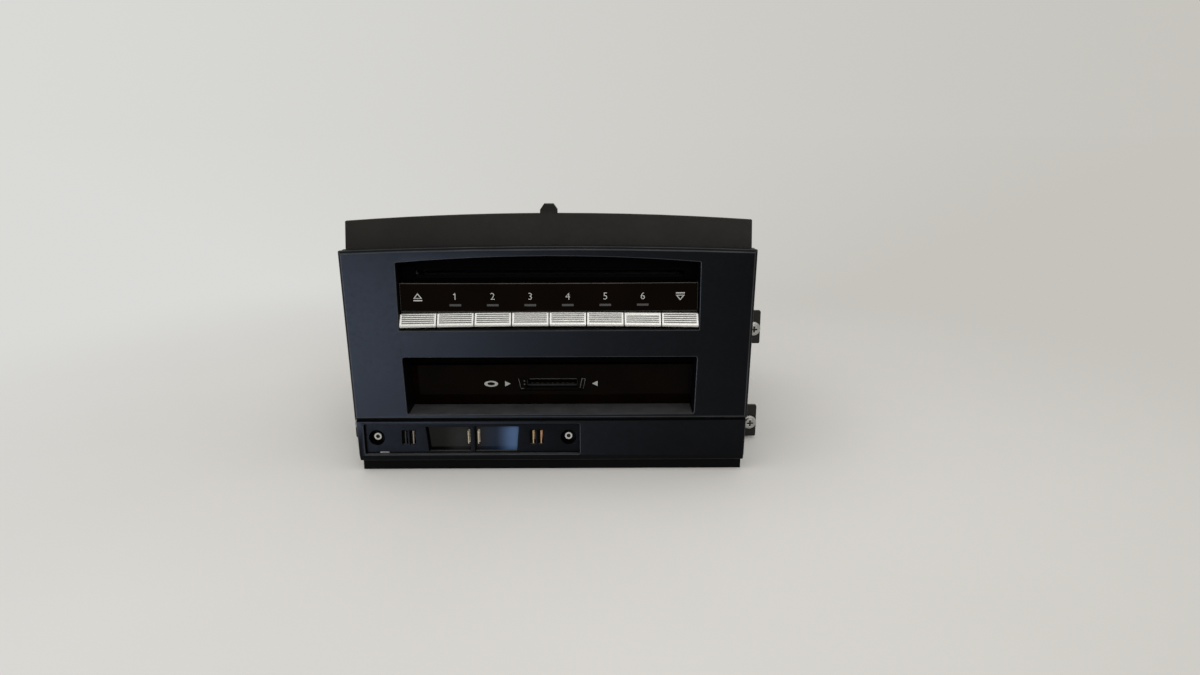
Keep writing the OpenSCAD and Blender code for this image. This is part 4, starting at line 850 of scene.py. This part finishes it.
def grow(name, tree, points, facings, values):
    """Runs a tree on points that face given ways, and returns the result as a plain mesh object."""
    mesh = bpy.data.meshes.new(f"{name}_points")
    mesh.from_pydata([tuple(point) for point in points], [], [])
    facing = mesh.attributes.new("facing", "FLOAT_VECTOR", "POINT")
    facing.data.foreach_set("vector", [part for way in facings for part in way])
    carrier = link(f"{name}_points", mesh)
    modifier = carrier.modifiers.new(name, "NODES")
    modifier.node_group = tree
    for item in tree.interface.items_tree:
        if item.in_out == "INPUT" and item.name in values:
            modifier[item.identifier] = values[item.name]
    made = made_mesh(carrier)
    for face in made.polygons:
        face.use_smooth = True
    made.set_sharp_from_angle(angle=SMOOTH_ANGLE)
    print(name, "has", len(points), "pieces and", len(made.polygons), "faces")
    return link(name, made)


shape_helpers = (cylinder, cube, drawn_in, raised, joined, painted, set_on_points)
print("shape helpers:", [helper.__name__ for helper in shape_helpers])

# %% [markdown]
# Screws with a recess
#
# A screw is a domed head and a shank. A cross is cut out of the head, or a six-sided hole in the bay's
# screws. The faces that the cut leaves keep the cutter's dark finish, a painted shade, and all others get
# the screw's own.

# %% Build the screw tree
HEAD_CORNERS, HEAD_RINGS, SHANK_CORNERS = 32, 6, 20
# The rest are shares: of the head's radius and height, and of the shank's length
DOME_FROM, DOME_POWER, DOME_DRAW = 0.1, 2.0, 0.75
CROSS_LONG, CROSS_WIDE = 1.15, 0.26
HOLE_CORNERS, HOLE_R, HOLE_DEEP = 6, 0.46, 1.4
SHANK_SUNK = -0.48


def screw_tree():
    lengths = ("Head radius", "Head height", "Shank radius", "Shank length")
    others = {"Six-sided": "Bool", "Recess finish": "Material"}
    tree, given = new_tree("cross_recess_screws", lengths, **others)
    radius, height, shank_radius, shank_length = [given[name] for name in lengths]

    # Head: a cylinder whose upper rings draw in towards the top
    at = corner_axes(tree)
    rise = calc(tree, "ADD", calc(tree, "DIVIDE", at["Z"], height), DOME_FROM)
    bulge = calc(tree, "POWER", calc(tree, "MAXIMUM", rise, 0.0), DOME_POWER)
    share = calc(tree, "SUBTRACT", 1.0, calc(tree, "MULTIPLY", bulge, DOME_DRAW))
    head = cylinder(tree, HEAD_CORNERS, radius, height, HEAD_RINGS)
    dome = raised(tree, drawn_in(tree, head, at, share, at["Z"]), calc(tree, "MULTIPLY", height, 0.5))

    # Recess: two crossed bars or a six-sided hole are cut out of the head
    long_side = calc(tree, "MULTIPLY", radius, CROSS_LONG)
    short_side = calc(tree, "MULTIPLY", radius, CROSS_WIDE)
    sides = ((long_side, short_side), (short_side, long_side))
    cross = joined(tree, *[raised(tree, cube(tree, x, y, height), height) for x, y in sides])
    hole_radius = calc(tree, "MULTIPLY", radius, HOLE_R)
    hole = cylinder(tree, HOLE_CORNERS, hole_radius, calc(tree, "MULTIPLY", height, HOLE_DEEP))
    feeds = {"Switch": given["Six-sided"], "False": cross, "True": raised(tree, hole, height)}
    cutter = add(tree, "GeometryNodeSwitch", feeds, input_type="GEOMETRY").outputs["Output"]
    dark_cutter = painted(tree, cutter, given["Recess finish"])
    feeds = {"Mesh 1": dome, "Mesh 2": dark_cutter, "Self Intersection": True}
    cut_head = add(tree, "GeometryNodeMeshBoolean", feeds, operation="DIFFERENCE", solver="EXACT")

    # Shank: a plain cylinder that starts inside the head
    shank = cylinder(tree, SHANK_CORNERS, shank_radius, shank_length)
    sunk = raised(tree, shank, calc(tree, "MULTIPLY", shank_length, SHANK_SUNK))
    placed = set_on_points(tree, given["Points"], joined(tree, cut_head.outputs["Mesh"], sunk))

    # Finish: the screw's own, outside the recess
    in_recess = add(tree, "GeometryNodeMaterialSelection", {"Material": given["Recess finish"]})
    outside = add(tree, "FunctionNodeBooleanMath", {0: in_recess.outputs["Selection"]}, operation="NOT")
    done = painted(tree, placed, given["Finish"], outside.outputs["Boolean"])
    add(tree, "NodeGroupOutput", {"Pieces": done})
    return tree


screws = screw_tree()
print("screw tree:", len(screws.nodes), "nodes")

# %% [markdown]
# Places of the housing's screws
#
# The screws' places are read from the solids: each loose part of a node is one screw. It runs along its
# longest side, front to back or across, and its head faces outwards from the radio's middle.

# %% Set the screws
ISLAND_MERGE = 0.002 * MM
SAME_SPAN = 0.1 * MM
SCREW_SIZES = {
    "case_screws": {"head_t": 1.6, "head_r": 2.6, "shank_r": 1.5, "shank": 5.0},
    "bracket_screws": {"head_t": 2.0, "head_r": 3.2, "shank_r": 2.0, "shank": 4.6},
    "bay_screws": {"head_t": 2.2, "head_r": 2.4, "shank_r": 1.25, "shank": 5.0}}


def islands(node):
    """The corners of each separate solid in a node, always in the same order."""
    shape = welded(node, ISLAND_MERGE)
    seen = set()
    found = []
    for first in shape.verts:
        if first in seen:
            continue
        seen.add(first)
        group, queue = [], [first]
        while queue:
            vert = queue.pop()
            group.append(vert.co.copy())
            others = [edge.other_vert(vert) for edge in vert.link_edges]
            fresh = [other for other in others if other not in seen]
            seen.update(fresh)
            queue += fresh
        found.append(group)
    shape.free()
    return found


def screw_places(node, head_t):
    """Where each screw's head sits, and which way it faces."""
    places, facings = [], []
    for group in islands(node):
        low = Vector([min(point[axis] for point in group) for axis in range(3)])
        high = Vector([max(point[axis] for point in group) for axis in range(3)])
        spans = high - low
        runs_back = spans.z < spans.y + SAME_SPAN and abs(spans.x - spans.z) < SAME_SPAN
        axis = 1 if runs_back else 0
        seat = (low + high) / 2
        way = Vector((0, 0, 0))
        way[axis] = 1 if seat[axis] > 0 else -1
        seat[axis] = (high[axis] if way[axis] > 0 else low[axis]) - way[axis] * head_t * MM
        places.append(seat)
        facings.append(way)
    return places, facings


for node, sizes in SCREW_SIZES.items():
    places, facings = screw_places(node, sizes["head_t"])
    piece = grow(f"{node}_heads", screws, places, facings, {
        "Head radius": sizes["head_r"] * MM, "Head height": sizes["head_t"] * MM,
        "Shank radius": sizes["shank_r"] * MM, "Shank length": sizes["shank"] * MM,
        "Six-sided": node == "bay_screws", "Finish": FINISHES["screw_steel"],
        "Recess finish": FINISHES["recess_painted_shade"]})
    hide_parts(node)
    settle(piece, node)

# %% [markdown]
# Contact pins
#
# The power socket's two bays hold rows of square pins, and the card reader a row of sprung contacts just
# inside its slot. Both are one small blade on many points, so one tree makes both. A blade's outer end is
# drawn in, as a lead-in for its mate.

# %% Build the pin tree
# Shares of the blade's length, and how far its tip is drawn in
MIDDLE_BAND, SHOULDER_UP = 0.2, 0.4
TIP_DRAW = 0.45


def pin_tree():
    tree, given = new_tree("contact_pins", ("Width", "Height", "Length"))
    length = given["Length"]
    blade = cube(tree, given["Width"], given["Height"], length, levels=3)
    at = corner_axes(tree)
    rise = calc(tree, "DIVIDE", at["Z"], length)
    is_tip = calc(tree, "GREATER_THAN", rise, MIDDLE_BAND)
    is_middle = calc(tree, "LESS_THAN", calc(tree, "ABSOLUTE", rise), MIDDLE_BAND)
    share = calc(tree, "SUBTRACT", 1.0, calc(tree, "MULTIPLY", is_tip, TIP_DRAW))
    shoulder = calc(tree, "MULTIPLY", is_middle, calc(tree, "MULTIPLY", length, SHOULDER_UP))
    shaped = drawn_in(tree, blade, at, share, calc(tree, "ADD", at["Z"], shoulder))
    placed = set_on_points(tree, given["Points"], shaped)
    add(tree, "NodeGroupOutput", {"Pieces": painted(tree, placed, given["Finish"])})
    return tree


pins = pin_tree()
print("pin tree:", len(pins.nodes), "nodes")

# %% Set the pins and contacts
POWER_FLOOR = 2
PIN_LEN, PIN_W, PIN_SUNK = 11, 1.2, 0.5
PIN_Z = (9.5, 33.5)
WIDE_BAY, WIDE_COLUMNS, WIDE_ROWS = (3, 25.7), 8, 4
NARROW_BAY, NARROW_COLUMNS, NARROW_ROWS = (29.7, 43), 4, 5
CONTACT_LEN, CONTACT_W, CONTACT_T = 7, 1.3, 0.5
CONTACT_START, CONTACT_PITCH, CONTACTS = -10, 2.5, 9
CONTACT_DEPTH, CONTACT_Z = 24.3, 38.75


def shares(ends, count):
    """The middles of equal parts between two ends."""
    return [ends[0] + (ends[1] - ends[0]) * (part + 0.5) / count for part in range(count)]


def set_blades(name, node, points, way, width, height, length, finish_name):
    """Blades on points that all face one way."""
    piece = grow(name, pins, points, [way] * len(points), {
        "Width": width * MM, "Height": height * MM, "Length": length * MM, "Finish": FINISHES[finish_name]})
    settle(piece, node)


power_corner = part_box("power_socket")[0]
power_left = power_corner.x / MM
pin_depth = depth_of(power_corner) + POWER_FLOOR + PIN_LEN / 2 - PIN_SUNK
pin_points = []
for bay, columns, rows in ((WIDE_BAY, WIDE_COLUMNS, WIDE_ROWS), (NARROW_BAY, NARROW_COLUMNS, NARROW_ROWS)):
    for z in shares(PIN_Z, rows):
        pin_points += [place(power_left + x, pin_depth, z) for x in shares(bay, columns)]
contact_xs = [CONTACT_START + CONTACT_PITCH * step for step in range(CONTACTS)]
contact_points = [place(x, CONTACT_DEPTH, CONTACT_Z) for x in contact_xs]
set_blades("power_pins", "power_socket", pin_points, (0, 1, 0), PIN_W, PIN_W, PIN_LEN, "brass")
set_blades("card_contacts", "card_socket", contact_points, (0, -1, 0), CONTACT_W, CONTACT_T, CONTACT_LEN,
           "contact_dark")

# %% [markdown]
# Floor and world
#
# The radio stands on a plain pale floor. Far from the radio the floor fades into the same pale tone that
# the world shows to the camera, so no horizon is seen from any side. Near it the floor is lit as it is
# and keeps the shadow. The world's own light is brightest overhead, as under a bright ceiling.

# %% Make the floor
FLOOR_HALF = 6
FLOOR_TONE = (0.75, 0.737, 0.712)
# Painted light across the backdrop: lighter and cooler at the left, darker and warmer at the right
PALE_LEFT, PALE_RIGHT = (0.70, 0.70, 0.68), (0.56, 0.545, 0.505)
PALE_SPAN = (-0.6, 0.6)
FADE_SPAN = (0.14, 0.50)


def seen_rays(tree):
    """1 for the rays that show the background: camera, glossy and transmission rays."""
    path = add(tree, "ShaderNodeLightPath").outputs
    direct = calc(tree, "MAXIMUM", path["Is Camera Ray"], path["Is Glossy Ray"])
    return calc(tree, "MAXIMUM", direct, path["Is Transmission Ray"])


def pale_tone(tree, vector):
    """The backdrop's tone, with painted light: pale and cool towards the left, a little darker and warmer
    towards the right.
    """
    unit = add(tree, "ShaderNodeVectorMath", {0: vector}, operation="NORMALIZE").outputs["Vector"]
    share = remap(tree, axes(tree, unit)["X"], PALE_SPAN)
    return ramp(tree, share, [(0.0, PALE_LEFT), (1.0, PALE_RIGHT)])


def blend(tree, share, first, second):
    """Goes from one shader to another with a share."""
    return add(tree, "ShaderNodeMixShader", {"Fac": share, 1: first, 2: second}).outputs["Shader"]


def fade_far(material):
    """Fades a material into the pale tone far from the origin, for the rays that show the background."""
    tree = material.node_tree
    coords = object_coords(tree)
    reach = add(tree, "ShaderNodeVectorMath", {0: coords}, operation="LENGTH").outputs["Value"]
    far = remap(tree, reach, FADE_SPAN, kind="SMOOTHSTEP")
    share = calc(tree, "MULTIPLY", far, seen_rays(tree))
    glow = add(tree, "ShaderNodeEmission", {"Color": pale_tone(tree, coords)}).outputs["Emission"]
    lit = tree.nodes["Principled BSDF"].outputs["BSDF"]
    feed(tree, tree.nodes["Material Output"].inputs["Surface"], blend(tree, share, lit, glow))


floor_corners = [(side * FLOOR_HALF, front * FLOOR_HALF, 0)
                 for side, front in ((-1, -1), (1, -1), (1, 1), (-1, 1))]
floor_mesh = bpy.data.meshes.new("floor")
floor_mesh.from_pydata(floor_corners, [], [(0, 1, 2, 3)])
floor_finish = finish("floor_pale", FLOOR_TONE, vary=0.02, roughness=(0.55, 0.65), bump=(500, 0.05),
                      specular=0.2, patch=4)
fade_far(floor_finish)
floor_mesh.materials.append(floor_finish)
floor = link("floor", floor_mesh)
print("floor:", 2 * FLOOR_HALF, "m")

# %% Light the world
HORIZON_LEVEL, ZENITH_LEVEL = 0.12, 0.55
SKY_TONE = (1.0, 0.99, 0.97, 1)
world = bpy.data.worlds.new("studio")
scene.world = world
world.use_nodes = True
sky_tree = world.node_tree
direction = add(sky_tree, "ShaderNodeTexCoord").outputs["Generated"]
sky_level = remap(sky_tree, axes(sky_tree, direction)["Z"], (0, 1), (HORIZON_LEVEL, ZENITH_LEVEL))
sky = sky_tree.nodes["Background"]
feed(sky_tree, sky.inputs["Color"], SKY_TONE)
feed(sky_tree, sky.inputs["Strength"], sky_level)
shown = add(sky_tree, "ShaderNodeBackground", {"Color": pale_tone(sky_tree, direction)})
both = blend(sky_tree, seen_rays(sky_tree), sky.outputs["Background"], shown.outputs["Background"])
feed(sky_tree, sky_tree.nodes["World Output"].inputs["Surface"], both)
print("world level:", HORIZON_LEVEL, "to", ZENITH_LEVEL)

# %% [markdown]
# Lamps
#
# One large lamp stands over the front and a weak one before it. A cool lamp at the left, like a window,
# gives the black mouldings their blue sheen on that side. The real radio lay on its back for the photo,
# so the window stood where the floor is here: the lamp is below the floor, and light linking lets it
# through to the mouldings alone. The keys and the print stay neutral, as in the photo.

# %% Set the lamps


def lamp(name, where, target, size, power, colour):
    """A rectangular lamp that looks at a target; lengths are in metres and power is in watts."""
    light = bpy.data.lights.new(name, "AREA")
    light.shape = "RECTANGLE"
    light.size, light.size_y = size
    light.energy = power
    light.color = colour
    holder = link(name, light)
    holder.location = where
    holder.rotation_euler = (Vector(target) - Vector(where)).to_track_quat("-Z", "Y").to_euler()
    return holder


lamp("soft_top", where=(-0.1, -0.45, 1.3), target=(0, -0.06, 0.06), size=(2.6, 1.8), power=13.5,
     colour=(1.0, 0.985, 0.96))
lamp("front_fill", where=(0.15, -1.1, 0.55), target=(0, -0.08, 0.06), size=(0.7, 0.4), power=3,
     colour=(1.0, 0.99, 0.97))
window = lamp("window_left", where=(-0.38, -0.85, -0.15), target=(-0.08, -0.08, 0.05), size=(0.30, 0.25),
              power=17.5, colour=(0.57, 0.70, 1.0))
mouldings = bpy.data.collections.new("black_mouldings")
for node in ("front_panel", "lower_panel", "bay_plate"):
    mouldings.objects.link(softened[node])
window.visible_diffuse = False
window.light_linking.receiver_collection = mouldings
window.light_linking.blocker_collection = mouldings
